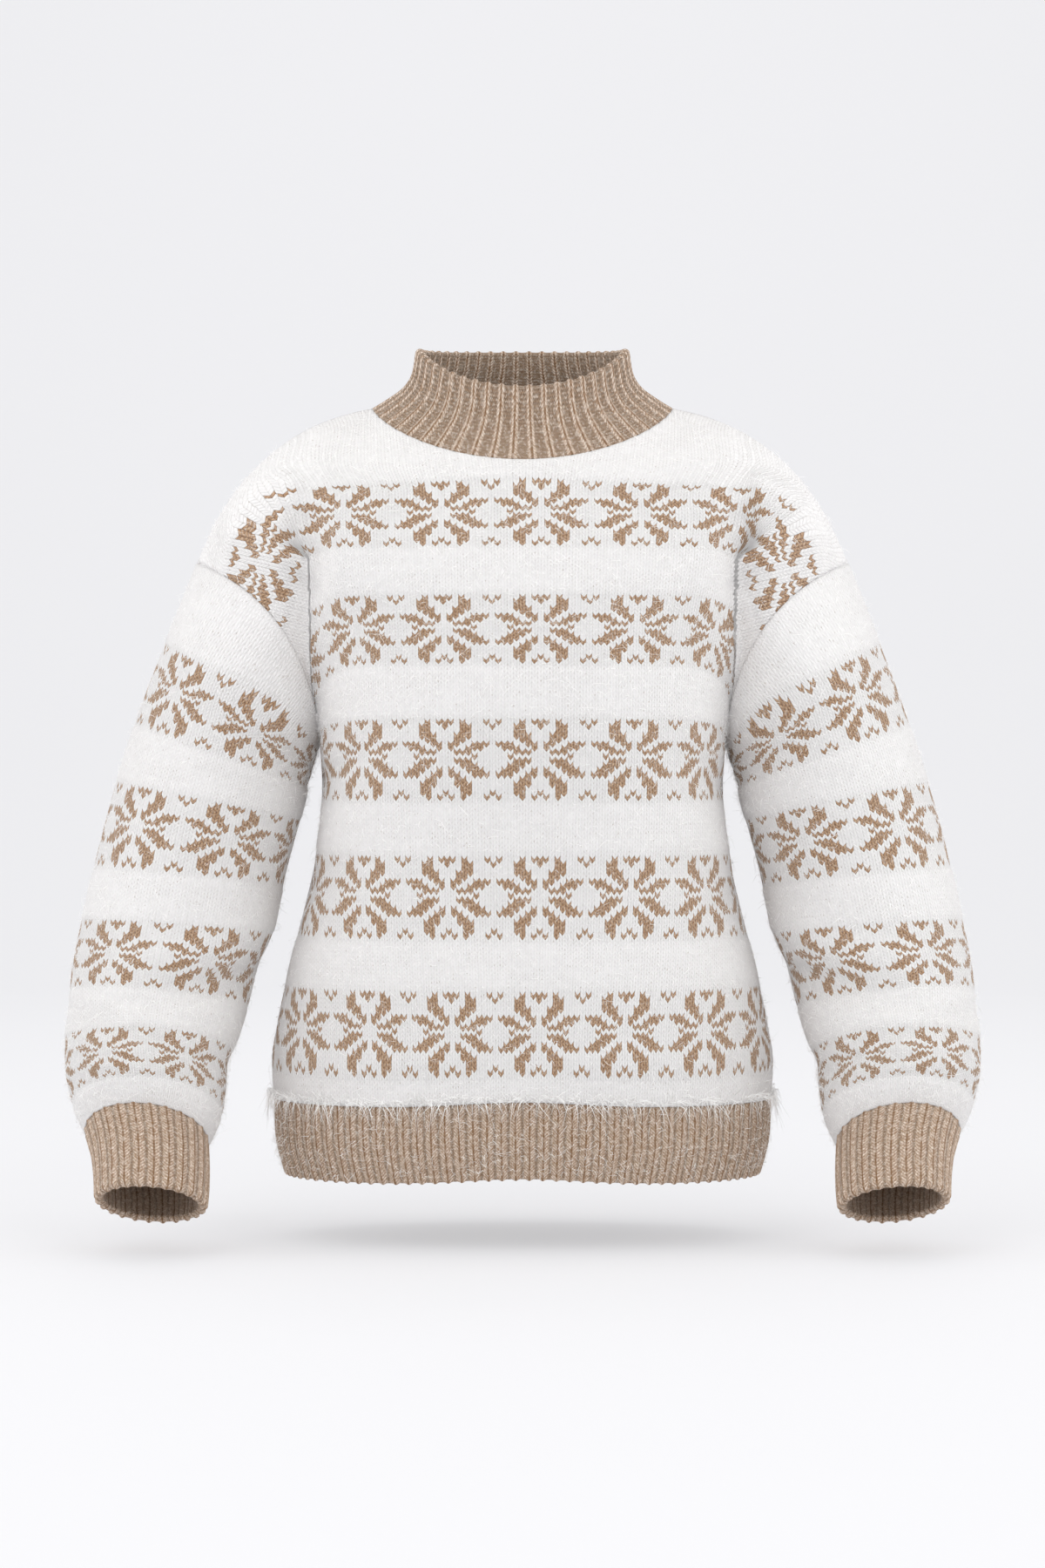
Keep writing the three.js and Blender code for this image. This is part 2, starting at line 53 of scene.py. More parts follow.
# Where each face looks along y
FACE_SIGN = {"front": -1, "back": 1}

# Cut of the body in millimetres, the same sizes as the solids have
WALL = 2.4
HEM_WALL = 2.6
FOLDED_WALL = 6.4
SEAM_GAP = 0.3
NECK_COLUMNS = 12
SHOULDER_COLUMNS = 8
HALF_COLUMNS = NECK_COLUMNS + SHOULDER_COLUMNS
ARMHOLE_ROWS = 12
COURSE_ROWS = 9
CURVE_STEPS = 600

BODY = (
    {"z": -551, "half_width": 199, "front": 122, "back": 117},
    {"z": -505, "half_width": 198.5, "front": 124.5, "back": 117},
    {"z": -452, "half_width": 188, "front": 123, "back": 113},
    {"z": -400, "half_width": 175, "front": 122, "back": 110},
    {"z": -350, "half_width": 164, "front": 125, "back": 110},
    {"z": -305, "half_width": 161, "front": 132, "back": 113},
)
BODY_ROUNDNESS = 2.4
HEM_RISE = 5
HEM_RISE_WIDTH = 70
HEM = (
    {"z": -551, "half_width": 198, "front": 121, "back": 116},
    {"z": -584, "half_width": 196.5, "front": 120, "back": 115},
    {"z": -610, "half_width": 190, "front": 115, "back": 110},
)
UNDERARM_LEVEL = -266
SHOULDER_LEVEL = -8
NECK_SIDE_LEVEL = 45
NECK_FRONT_LEVEL = -45
NECK_HALF_CUT = 108
SHOULDER_CUT = 270
YOKE = (
    {"level": -266, "front": 138, "back": 117},
    {"level": -212, "front": 140, "back": 119},
    {"level": -155, "front": 135, "back": 118},
    {"level": -115, "front": 126, "back": 112},
    {"level": -72, "front": 108, "back": 100},
)
DROOP_START = 110
DROOP_STEP = 4
DROOP_POWER = 2.3
CREASE_X = 167
CREASE_WIDTH = 14
CREASE_DEPTHS = (0, 0, 0, 0, 2, 15, 25, 20, 12, 5)
BACK_CREASE = 0.45
ARMHOLE = {
    "x": 212, "z": -195, "half_length": 86, "half_depth": 76,
    "bow": 28, "lean": math.radians(35), "crease_dip": 0.26,
}
SHOULDER = ((120, 0), (185, -12), (225, -43))
NECK_SLOPE_POWER = 1.4
NECK = (
    {"half_width": 120, "front": 95, "back": 75, "side_z": 0, "front_z": -49, "back_z": 8},
    {"half_width": 107, "front": 86, "back": 70, "side_z": 8, "front_z": -36, "back_z": 20},
    {"half_width": 95, "front": 78, "back": 67, "side_z": 17, "front_z": -22, "back_z": 31},
    {"half_width": 88, "front": 72, "back": 65, "side_z": 28, "front_z": -7, "back_z": 41},
    {"half_width": 85, "front": 68, "back": 64, "side_z": 45, "front_z": 9, "back_z": 50},
)

# Sleeve and cuff sections: outer x and z, inner x and z, y, half depth, forward tilt
SECTION_COLUMNS = ("outer_x", "outer_z", "inner_x", "inner_z", "y", "half_depth", "tilt")
SLEEVE = (
    (283, -178, 166, -280, 0, 75, 0),
    (303, -229, 170, -296, 0, 73, 0),
    (321, -284, 176, -320, -2, 71, 1),
    (337, -341, 187, -361, -5, 70, 2),
    (350, -399, 199, -410, -10, 69, 4),
    (358, -446, 213, -458, -20, 67, 8),
    (361, -490, 225, -500, -38, 66, 15),
    (360, -524, 232, -530, -55, 64, 22),
    (353, -552, 236, -556, -70, 59, 30),
    (341, -573, 246, -579, -82, 48, 38),
)
CUFF = (
    (341, -573, 246, -579, -82, 48, 38),
    (334, -590, 244, -596, -98, 46, 37),
    (330, -606, 243, -611, -113, 44, 33),
    (328, -619, 243, -623, -126, 42.5, 28),
)

# Sleeve folds: place down the sleeve in sections and round it in degrees, slope,
# run in degrees, width in sections and height in millimetres
FOLD_COLUMNS = ("down", "around", "slope", "run", "width", "height")
FOLDS = (
    (5.6, 120, -0.9, 62, 0.38, 5),
    (6.35, 128, -0.9, 60, 0.34, -5),
    (7.35, 62, 1.0, 70, 0.36, -5),
    (6.3, 285, 0.8, 60, 0.4, 4),
    (7.4, 215, -0.7, 60, 0.4, -4),
)
FINE_FOLDS = (
    (5.95, 150, -0.8, 40, 0.13, -1.6),
    (6.9, 95, 0.7, 45, 0.12, -1.4),
    (7.9, 120, -0.6, 50, 0.14, 1.6),
    (1.2, 140, 0.9, 45, 0.3, -2.4),
    (2.1, 160, 0.8, 40, 0.3, -2.0),
    (8.6, 60, 0.5, 50, 0.2, 1.8),
    (8.5, 250, -0.5, 50, 0.2, 1.8),
    (5.2, 230, 0.7, 45, 0.2, -1.8),
)

# Soft creases of the body: place across and up, run, width, slope and height
CREASE_COLUMNS = ("x", "z", "run", "width", "slope", "height")
BODY_CREASES = (
    (-150, -292, 34, 9, 0.75, -2.6),
    (152, -300, 36, 9, -0.75, -2.6),
    (-138, -330, 46, 11, 0.9, 1.8),
    (140, -338, 46, 11, -0.9, 1.8),
    (-150, -372, 40, 12, 0.6, -2.0),
    (154, -380, 40, 12, -0.6, -2.0),
    (-95, -520, 60, 14, 0.12, 2.2),
    (90, -524, 66, 14, -0.1, 2.2),
    (10, -515, 50, 13, 0.05, -1.4),
    (-60, -80, 40, 10, 0.5, -1.2),
    (70, -84, 42, 10, -0.5, -1.2),
)

# Knit: course number at each height of the centre front, and width of a stitch there
COURSES = ((-551, 0), (-529, 6), (-460, 26), (-425, 37), (-356, 57), (-318, 68), (-251, 88),
           (-212, 99), (-155, 119), (-121, 130), (-66, 150), (-8, 167), (60, 187))
STITCH_WIDTHS = ((-551, 4.1), (-495, 4.15), (-390, 4.45), (-285, 4.6), (-184, 4.65),
                 (-95, 4.85), (60, 4.85))
SLEEVE_COURSES = ((0, 167), (1.15, 150), (2.5, 130), (3.25, 119), (4.5, 99), (5.2, 88), (6.5, 68),
                  (7.35, 57), (9.1, 37), (10, 31))
# The bands hang flatter across the sleeve than its armhole: sections that they rise on its
# inner side, and the section where that ends
BAND_RISE = 0.75
BAND_RISE_END = 2.6
# Stitches by which the sleeve stars lie off their even places, at sections down the sleeve
STAR_SHIFT_DOWN = (2, 3.5, 6, 8.5)
STAR_SHIFT = {"left": (2.4, 2, 0, -1.5), "right": (0.2, 0, -1, -1.5)}
# The top band turns down along the armhole round the head of the front crease
BEND = {"x": 167, "z": -122, "turn": math.radians(75), "middle": 30.6, "course": 3.06,
        "level_course": 2.73}
BEND_COURSE = 130
BEND_STAR = {-1: {"stitch": -47.5, "along": 56}, 1: {"stitch": 48.5, "along": 62.6}}
BEND_STAR_HALF = 6
BEND_STITCH = 5.5
BEND_BLEND = 20
SLEEVE_STITCHES = 96
MOTIF_OFFSET = 3
REPEAT = 16
FIRST_BAND = 6
BAND = 20
PERIOD = 31
TOP_OF_BANDS = FIRST_BAND + 4 * PERIOD + BAND
# The star from its lowest course up: stitches of each course, counted from its centre line
STAR = ((1, 3, 7), (0, 3, 4, 8), (3, 4), (2, 3, 4), (2, 3), (1, 2, 5, 6, 7), (1, 4, 5, 6), (3, 4, 5),
        (2, 3, 4), (5,), (2, 3, 4), (1, 4, 5, 6), (1, 2, 5, 6, 7), (2, 3), (2, 3, 4), (3, 4),
        (0, 3, 4, 8), (0, 1, 3, 7))

NECK_RIBS = 48
HEM_RIBS = 48
CUFF_RIBS = 24
RIB_COURSE = 2.4
# Shape of a rib, as shares of its width and height
WALE_WIDTH = 0.17
GROOVE_WIDTH = 0.045
GROOVE_DEPTH = 0.22
# Stitches are wider towards the armholes: from here across, up to this level, by this share
WIDER_FROM = 150
WIDER_LEVEL = -110
WIDER_SHARE = 0.25
# The plain band over the hem stands out round this level
PUFF_LEVEL = -522
PUFF_HALF = 26
PUFF_HEIGHT = 2.2
# Slow unevenness of the cloth: wave length and height
PANEL_UNEVEN = (42, 1.3)
SLEEVE_UNEVEN = (34, 1.4)
UNEVEN_SEED = {"front": 5, "back": 8, "left": 11, "right": 17}

# Mesh steps
PANEL_FILL = 7
SLEEVE_COLUMNS = 240
SLEEVE_FILL = 13
FOLDED_RIB_STEPS = 12
HEM_RIB_STEPS = 10
NECK_FILL = 7
HEM_FILL = 9
CUFF_FILL = 10
RIM_STEPS = 9
BACKDROP_STEPS = 24

# Radii of the loose hairs
HAIR = 0.2
LONG_HAIR = 0.34
EDGE_HAIRS = 700
HEM_HAIRS = 1000
# Depth of a root in the knit, spread of the lengths, rise from the cloth, curl, and the share
# of a hair before its bend
HAIR_ROOT = 0.3
HAIR_SPREAD = (1.6, 3.2)
HAIR_RISE = (0.06, 0.5)
HAIR_CURL = 0.25
HAIR_BEND = 0.4
HAIR_COLOUR = (0.97, 0.96, 0.95)
HAIR_LIGHT = (1, 0.99, 0.97)
# Fine hairs let light through: a little glow stands in for it
HAIR_GLOW = 0.15
# Painted shade in the white knit, which is no yarn's own: grey where the tufts are thin, in the stitch
# holes and in the gaps between wales, and brown in scattered holes
TUFT_SHADE = (0.62, 0.6, 0.6)
HOLE_SHADE = (0.42, 0.37, 0.34)
GAP_SHADE = (0.5, 0.47, 0.45)
LOOP_SHADE = (0.3, 0.2, 0.13)

CAMERA_DISTANCE = 2.88
CAMERA_HEIGHT = -0.301
CAMERA_LENS = 82.3
FLOOR = -0.664
FLOOR_TONES = ((0.39, 0.39, 0.4), (0.4, 0.4, 0.41))
FLOOR_LIGHT = (0.98, 0.98, 1.0)
FLOOR_GLOW = 0.47
ROOM_LIGHT = 0.56


def length(name, description, value):
    return FloatProperty(name=name, description=description, default=value,
                         subtype="DISTANCE", unit="LENGTH")


def yarn_colour(name, description, value):
    return FloatVectorProperty(name=name, description=description, default=value,
                               subtype="COLOR", size=3)


class JumperSizes(bpy.types.PropertyGroup):
    """Sizes of the knit that a user may change"""
    panel_detail: IntProperty(name="Panel detail", description="Mesh steps in each cut column",
                              default=5, min=2)
    rib_height: length("Rib height", "Height of a raised wale", 0.0017)
    band_lift: length("Band lift", "How far the plain brushed bands stand out", 0.0007)
    hair_length: length("Hair length", "Length of the longest loose hairs", 0.02)
    panel_hairs: IntProperty(name="Hairs on a panel", description="Loose hairs on each panel",
                             default=7000)
    sleeve_hairs: IntProperty(name="Hairs on a sleeve", description="Loose hairs on each sleeve",
                              default=5600)


class JumperColours(bpy.types.PropertyGroup):
    """Colours of the yarns, and of the painted shade between the snowflake stitches and between the ribs"""
    white: yarn_colour("White yarn", "Brushed ground yarn", (0.92, 0.905, 0.9))
    motif: yarn_colour("Motif yarn", "Golden brown of the snowflakes", (0.37, 0.205, 0.1))
    motif_pale: yarn_colour("Pale motif yarn", "Lighter ply of the snowflakes", (0.62, 0.44, 0.3))
    # Painted shade for the gaps between the snowflake stitches, not a yarn
    motif_gap_shade: yarn_colour("Painted motif shade", "Between the snowflake stitches", (0.13, 0.055, 0.02))
    beige: yarn_colour("Beige yarn", "Middle tone of the marled rib yarn", (0.46, 0.315, 0.215))
    cream: yarn_colour("Cream ply", "Pale ply of the marled yarn", (0.82, 0.7, 0.6))
    rust: yarn_colour("Rust ply", "Dark ply of the marled yarn", (0.21, 0.105, 0.04))
    # Painted shade in the valleys between the ribs
    shade: yarn_colour("Shade", "Depth between the ribs", (0.13, 0.085, 0.05))


# Curves and sections, in millimetres


def smoothstep(value, low, high):
    share = np.clip((value - low) / (high - low), 0, 1)
    return share * share * (3 - 2 * share)


def catmull_rom(before, start, end, after, t):
    leave = (end - before) / 2
    arrive = (after - start) / 2
    return (((2 * start - 2 * end + leave + arrive) * t - 3 * start + 3 * end - 2 * leave - arrive) * t
            + leave) * t + start


def smooth_value(table, key, value, name):
    last = len(table) - 1
    i = 0
    while i < last - 1 and table[i + 1][key] < value:
        i += 1
    share = min(max((value - table[i][key]) / (table[i + 1][key] - table[i][key]), 0), 1)
    near = [table[min(max(k, 0), last)][name] for k in (i - 1, i, i + 1, i + 2)]
    return catmull_rom(*near, share)


def spaced_evenly(curve, count):
    """Points at equal distances along a curve, and its length"""
    along = np.concatenate([[0], np.cumsum(np.linalg.norm(np.diff(curve, axis=0), axis=1))])
    wanted = np.linspace(0, along[-1], count + 1)
    return np.stack([np.interp(wanted, along, curve[:, axis]) for axis in range(3)], axis=1), along[-1]


def oval(angle, half_width, depth):
    across = half_width * np.sin(angle) ** (2 / BODY_ROUNDNESS)
    return across, depth * np.maximum(np.cos(angle), 0) ** (2 / BODY_ROUNDNESS)


def hem_lift(x):
    return HEM_RISE * np.exp(-((x / HEM_RISE_WIDTH) ** 2))


def flat_half_section(section, face, lift, count):
    angle = np.linspace(0, math.pi / 2, CURVE_STEPS)
    x, y = oval(angle, section["half_width"], section[face])
    return spaced_evenly(np.stack([x, y, section["z"] + lift * hem_lift(x)], axis=1), count)


def armhole_point(angle):
    along = ARMHOLE["half_length"] * np.cos(angle)
    bow = ARMHOLE["bow"] * np.sin(angle) ** 2
    along_x, along_z = math.sin(ARMHOLE["lean"]), math.cos(ARMHOLE["lean"])
    dip = 1 - ARMHOLE["crease_dip"] * smoothstep(angle, math.radians(80), math.radians(125))
    return np.stack([
        ARMHOLE["x"] + along * along_x - bow * along_z,
        ARMHOLE["half_depth"] * np.sin(angle) * dip,
        ARMHOLE["z"] + along * along_z + bow * along_x,
    ], axis=-1)


def yoke_half_course(row, face, count):
    share = row / ARMHOLE_ROWS
    level = UNDERARM_LEVEL + (SHOULDER_LEVEL - UNDERARM_LEVEL) * share
    end = armhole_point(np.float64(math.pi * (1 - share)))
    depth = smooth_value(YOKE, "level", level, face)
    fullness = 1 - (abs(end[1]) / depth) ** BODY_ROUNDNESS
    half_width = end[0] / fullness ** (1 / BODY_ROUNDNESS)
    last_angle = math.asin(min((end[0] / half_width) ** (BODY_ROUNDNESS / 2), 1))
    x, y = oval(np.linspace(0, last_angle, CURVE_STEPS), half_width, depth)
    start = DROOP_START + DROOP_STEP * row
    beyond = np.clip((x - start) / (end[0] - start), 0, 1)
    fall = 1 - np.maximum(1 - beyond ** DROOP_POWER, 0) ** (1 / DROOP_POWER)
    near = np.exp(-(((x - CREASE_X) / CREASE_WIDTH) ** 2))
    depth_here = CREASE_DEPTHS[row] * (1 if face == "front" else BACK_CREASE)
    crease = depth_here * near * (1 - beyond ** 6)
    curve = np.stack([x, y - crease, level + (end[2] - level) * fall], axis=1)
    return *spaced_evenly(curve, count), level


def neck_point(angle, section):
    turn = np.abs(np.cos(angle))
    slope = turn ** NECK_SLOPE_POWER
    front = np.cos(angle) >= 0
    deep = np.where(front, section["front"], section["back"])
    end_z = np.where(front, section["front_z"], section["back_z"])
    return np.stack([
        section["half_width"] * np.sin(angle),
        deep * turn,
        section["side_z"] + (end_z - section["side_z"]) * slope,
    ], axis=-1)


def shoulder_curve(share):
    tip = armhole_point(np.float64(0.0))
    corners = [np.array([x, 0, z], float) for x, z in SHOULDER] + [np.array([tip[0], 0, tip[2]])]
    t = share[:, None]
    return ((1 - t) ** 3 * corners[0] + 3 * t * (1 - t) ** 2 * corners[1]
            + 3 * t * t * (1 - t) * corners[2] + t ** 3 * corners[3])


def top_half_edge(face, steps):
    """Half of a panel's top edge, with its place on the flat cut"""
    neck = np.linspace(0, 1, NECK_COLUMNS * steps + 1)
    turn = neck * math.pi / 2
    curve = neck_point(turn if face == "front" else math.pi - turn, NECK[0])
    shoulder = np.linspace(0, 1, SHOULDER_COLUMNS * steps + 1)[1:]
    edge = np.concatenate([curve, shoulder_curve(shoulder)])
    flat_x = np.concatenate([
        NECK_HALF_CUT * np.sin(turn),
        NECK_HALF_CUT + (SHOULDER_CUT - NECK_HALF_CUT) * shoulder,
    ])
    level = np.concatenate([
        NECK_SIDE_LEVEL + (NECK_FRONT_LEVEL - NECK_SIDE_LEVEL) * np.cos(turn) ** NECK_SLOPE_POWER,
        NECK_SIDE_LEVEL + (SHOULDER_LEVEL - NECK_SIDE_LEVEL) * shoulder,
    ])
    return edge, flat_x, level


def crown_half_row(row, below, course, top, steps):
    span = ARMHOLE_ROWS - COURSE_ROWS
    t = (row - COURSE_ROWS) / span
    straight = top - course
    level_end = straight * np.array([0.4, 1.25, 0.1])
    column = np.arange(len(course)) / steps
    on_shoulder = smoothstep(column, NECK_COLUMNS - 3, NECK_COLUMNS + 2)[:, None]
    arrive = straight + (level_end - straight) * on_shoulder
    leave = (course - below) * span * 0.8
    place = course * (1 + 2 * t) * (1 - t) ** 2 + leave * t * (1 - t) ** 2
    place = place + top * t * t * (3 - 2 * t) + arrive * t * t * (t - 1)
    miss = armhole_point(np.float64(math.pi * (1 - row / ARMHOLE_ROWS))) - place[-1]
    return place + miss * ((column / HALF_COLUMNS) ** 6)[:, None]


def panel_grid(face, steps, fill):
    """Outer points of a panel with, for each, its distance across and level on the flat cut"""
    count = HALF_COLUMNS * steps
    share = np.linspace(0, 1, count + 1)
    rows, flats, levels = [], [], []
    for i, section in enumerate(BODY):
        points, length = flat_half_section(section, face, 1 if i == 0 else 0, count)
        rows.append(points)
        flats.append(share * length)
        levels.append(np.full(count + 1, float(section["z"])))
    for row in range(COURSE_ROWS + 1):
        points, length, level = yoke_half_course(row, face, count)
        rows.append(points)
        flats.append(share * length)
        levels.append(np.full(count + 1, level))
    top, top_flat, top_level = top_half_edge(face, steps)
    course, below = rows[-1], rows[-2]
    course_flat, course_level = flats[-1], levels[-1]
    for row in range(COURSE_ROWS + 1, ARMHOLE_ROWS):
        t = (row - COURSE_ROWS) / (ARMHOLE_ROWS - COURSE_ROWS)
        rows.append(crown_half_row(row, below, course, top, steps))
        flats.append(course_flat + (top_flat - course_flat) * t)
        levels.append(course_level + (top_level - course_level) * t)
    rows.append(top)
    flats.append(top_flat)
    levels.append(top_level)
    points = fill_rows(np.array(rows), fill)
    flat = fill_rows(np.array(flats)[:, :, None], fill)[:, :, 0]
    level = fill_rows(np.array(levels)[:, :, None], fill, straight=True)[:, :, 0]
    right = points * np.array([1, FACE_SIGN[face], 1])
    left = right[:, :0:-1] * MIRROR
    whole = np.concatenate([left, right], axis=1)
    across = np.concatenate([-flat[:, :0:-1], flat], axis=1)
    return whole, across, np.concatenate([level[:, :0:-1], level], axis=1)


def fill_rows(rows, fill, straight=False):
    """More rows between the given ones, on smooth curves through them"""
    last = len(rows) - 1
    result = []
    for k in range(last):
        near = [rows[min(max(n, 0), last)] for n in (k - 1, k, k + 1, k + 2)]
        for step in range(fill):
            t = step / fill
            if straight:
                result.append(near[1] + (near[2] - near[1]) * t)
            else:
                result.append(catmull_rom(*near, t))
    result.append(rows[last])
    return np.array(result)


def section_ring(values, angles):
    section = dict(zip(SECTION_COLUMNS, values))
    outer = np.array([section["outer_x"], section["y"], section["outer_z"]], float)
    inner = np.array([section["inner_x"], section["y"], section["inner_z"]], float)
    middle = (outer + inner) / 2
    tilt = math.radians(section["tilt"])
    forward = np.array([0, -math.cos(tilt), math.sin(tilt)]) * section["half_depth"]
    return middle + np.cos(angles)[:, None] * (outer - middle) + np.sin(angles)[:, None] * forward


def armhole_ring(angles):
    folded = np.where(angles <= math.pi, angles, 2 * math.pi - angles)
    ring = armhole_point(folded)
    ring[:, 1] *= np.where(angles <= math.pi, -1, 1)
    return ring


def fold_height(down, around, folds):
    height = np.zeros(np.broadcast(down, around).shape)
    for values in folds:
        fold = dict(zip(FOLD_COLUMNS, values))
        turn = (around - fold["around"] + 540) % 360 - 180
        offset = down - fold["down"] - fold["slope"] * turn / 100
        fall = (turn / fold["run"]) ** 2 + (offset / fold["width"]) ** 2
        height = height + fold["height"] * np.exp(-fall)
    return height


def grid_normals(points, closed):
    if closed:
        across = np.roll(points, -1, axis=1) - np.roll(points, 1, axis=1)
    else:
        across = np.gradient(points, axis=1)
    up = np.gradient(points, axis=0)
    normal = np.cross(across, up)
    return normal / np.maximum(np.linalg.norm(normal, axis=2, keepdims=True), 1e-9)


def wander(points, scale, seed):
    """A soft uneven value over the points, from a few slow waves"""
    rng = np.random.default_rng(seed)
    total = np.zeros(points.shape[:-1])
    for _ in range(7):
        direction = rng.normal(size=3)
        direction *= rng.uniform(0.5, 1.5) / (scale * np.linalg.norm(direction))
        total += np.sin(points @ direction + rng.uniform(0, 2 * math.pi))
    return total / 7


# Meshes


def deselect_all():
    if bpy.context.object and bpy.context.object.mode != "OBJECT":
        bpy.ops.object.mode_set(mode="OBJECT")
    bpy.ops.object.select_all(action="DESELECT")


def smooth_object(name, vertices, faces, look):
    """A smooth mesh object in the scene, from points in metres"""
    mesh = bpy.data.meshes.new(name)
    mesh.from_pydata(vertices, [], faces)
    mesh.polygons.foreach_set("use_smooth", [True] * len(mesh.polygons))
    mesh.materials.append(look)
    mesh.update()
    piece = bpy.data.objects.new(name, mesh)
    bpy.context.scene.collection.objects.link(piece)
    return piece


def new_piece(name, vertices, faces, uvs, look):
    """A knitted piece from points in millimetres, with a knit coordinate per point or per corner"""
    piece = smooth_object(name, (np.asarray(vertices) * MM).tolist(), faces, look)
    mesh = piece.data
    layer = mesh.uv_layers.new(name="knit")
    values = np.asarray(uvs)
    if len(values) == len(vertices):
        corners = np.empty(len(mesh.loops), dtype=np.int64)
        mesh.loops.foreach_get("vertex_index", corners)
        values = values[corners]
    layer.data.foreach_set("uv", values.astype(np.float32).ravel())
    return piece


def grid_faces(rows, columns, closed_columns, closed_rows, flip):
    faces = []
    column_steps = columns if closed_columns else columns - 1
    row_steps = rows if closed_rows else rows - 1
    for r in range(row_steps):
        s = (r + 1) % rows
        for c in range(column_steps):
            d = (c + 1) % columns
            quad = (r * columns + c, r * columns + d, s * columns + d, s * columns + c)
            faces.append(quad[::-1] if flip else quad)
    return faces


def corner_uvs(faces, uvs, period, columns):
    """Knit coordinates of the faces' corners, a full turn on where the last column meets the first"""
    corners = []
    for face in faces:
        places = {i % columns for i in face}
        wraps = 0 in places and columns - 1 in places
        for i in face:
            u, v = uvs[i]
            corners.append((u + period if wraps and i % columns == 0 else u, v))
    return corners


def give_wall(piece, thickness):
    deselect_all()
    bpy.context.view_layer.objects.active = piece
    piece.select_set(True)
    solid = piece.modifiers.new("wall", "SOLIDIFY")
    solid.thickness = thickness * MM
    solid.offset = -1
    solid.use_even_offset = False
    bpy.ops.object.modifier_apply(modifier=solid.name)
    piece.select_set(False)


def dress(piece, node):
    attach(piece, "root")
    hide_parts(node)


# Materials


class Value:
    """A shader socket that adds Math nodes when it is used in an expression"""

    def __init__(self, nodes, socket):
        self.nodes = nodes
        self.socket = socket

    def math(self, operation, *others):
        node = self.nodes.tree.nodes.new("ShaderNodeMath")
        node.operation = operation
        for index, item in enumerate((self, *others)):
            if isinstance(item, Value):
                self.nodes.tree.links.new(item.socket, node.inputs[index])
            else:
                node.inputs[index].default_value = item
        return Value(self.nodes, node.outputs[0])

    def reflected(self, operation, other):
        node = self.nodes.tree.nodes.new("ShaderNodeMath")
        node.operation = operation
        node.inputs[0].default_value = other
        self.nodes.tree.links.new(self.socket, node.inputs[1])
        return Value(self.nodes, node.outputs[0])

    def __rsub__(self, other):
        return self.reflected("SUBTRACT", other)

    def __rpow__(self, other):
        return self.reflected("POWER", other)

    def equals(self, other):
        return self.math("COMPARE", other, 0.25)


def math_method(operation):
    def method(self, *others):
        return self.math(operation, *others)
    return method


MATH_METHODS = {
    "__add__": "ADD", "__radd__": "ADD", "__sub__": "SUBTRACT", "__mul__": "MULTIPLY",
    "__rmul__": "MULTIPLY", "__truediv__": "DIVIDE", "__mod__": "FLOORED_MODULO",
    "__pow__": "POWER", "__abs__": "ABSOLUTE", "__lt__": "LESS_THAN", "__gt__": "GREATER_THAN",
    "floor": "FLOOR", "fraction": "FRACT", "sine": "SINE",
}
for method_name, math_operation in MATH_METHODS.items():
    setattr(Value, method_name, math_method(math_operation))


class Nodes:
    """Adds nodes to one material, each by its type, settings and inputs"""

    def __init__(self, name):
        material = bpy.data.materials.new(name)
        material.use_nodes = True
        self.material = material
        self.tree = material.node_tree
        self.tree.nodes.clear()

    def add(self, kind, settings=None, **inputs):
        node = self.tree.nodes.new(kind)
        for key, value in (settings or {}).items():
            setattr(node, key, value)
        for key, value in inputs.items():
            socket = node.inputs[int(key[1:])] if key[1:].isdigit() else node.inputs[key.replace("_", " ")]
            if isinstance(value, Value):
                self.tree.links.new(value.socket, socket)
            elif hasattr(value, "is_output"):
                self.tree.links.new(value, socket)
            else:
                socket.default_value = value
        return node

    def knit_place(self):
        place = self.add("ShaderNodeUVMap", {"uv_map": "knit"})
        split = self.add("ShaderNodeSeparateXYZ", i0=place.outputs[0])
        return place.outputs[0], Value(self, split.outputs[0]), Value(self, split.outputs[1])

    def object_place(self):
        return self.add("ShaderNodeTexCoord").outputs["Object"]

    def noise(self, vector, scale, detail=2.0, rough=0.5):
        node = self.add("ShaderNodeTexNoise", {"noise_dimensions": "3D"}, Vector=vector, Scale=scale,
                        Detail=detail, Roughness=rough)
        return Value(self, node.outputs[0])

    def stretched(self, vector, scale):
        node = self.add("ShaderNodeVectorMath", {"operation": "MULTIPLY"}, i0=vector, i1=scale)
        return node.outputs[0]

    def streaks(self, vector, scale, detail=2.0, rough=0.5):
        """Noise with its own fineness along each axis"""
        return self.noise(self.stretched(vector, scale), 1.0, detail, rough)

    def ramp(self, value, low, high):
        node = self.add("ShaderNodeMapRange", {"interpolation_type": "SMOOTHSTEP"},
                        i0=value, i1=low, i2=high)
        return Value(self, node.outputs[0])

    def blend(self, factor, first, second):
        node = self.add("ShaderNodeMix", {"data_type": "RGBA", "clamp_factor": True},
                        i0=factor, i6=first, i7=second)
        return node.outputs[2]

    def surface(self, **inputs):
        shader = self.add("ShaderNodeBsdfPrincipled", **inputs)
        self.add("ShaderNodeOutputMaterial", i0=shader.outputs[0])
        return self.material

    def brushed(self, colour, rough, height, distance, sheen, sheen_tint):
        """A soft surface with relief and the sheen of brushed wool"""
        bump = self.add("ShaderNodeBump", Strength=1.0, Distance=distance, Height=height)
        return self.surface(Base_Color=colour, Roughness=rough, Normal=bump.outputs[0],
                            Sheen_Weight=sheen, Sheen_Roughness=0.45,
                            Sheen_Tint=whole(sheen_tint), Specular_IOR_Level=0.25)


def whole(colour):
    return (*colour, 1)


def marled(nodes, place, fine, colours):
    """Beige yarn of cream, beige and rust plies that turn round each other"""
    first = nodes.streaks(place, fine, 3.0, 0.7)
    second = nodes.noise(nodes.stretched(place, tuple(0.63 * f for f in fine)), 1.7, 3.0, 0.7)
    pale = nodes.blend(nodes.ramp(first, 0.5, 0.62), whole(colours.beige), whole(colours.cream))
    return nodes.blend(nodes.ramp(second, 0.54, 0.66) * 0.75, pale, whole(colours.rust))


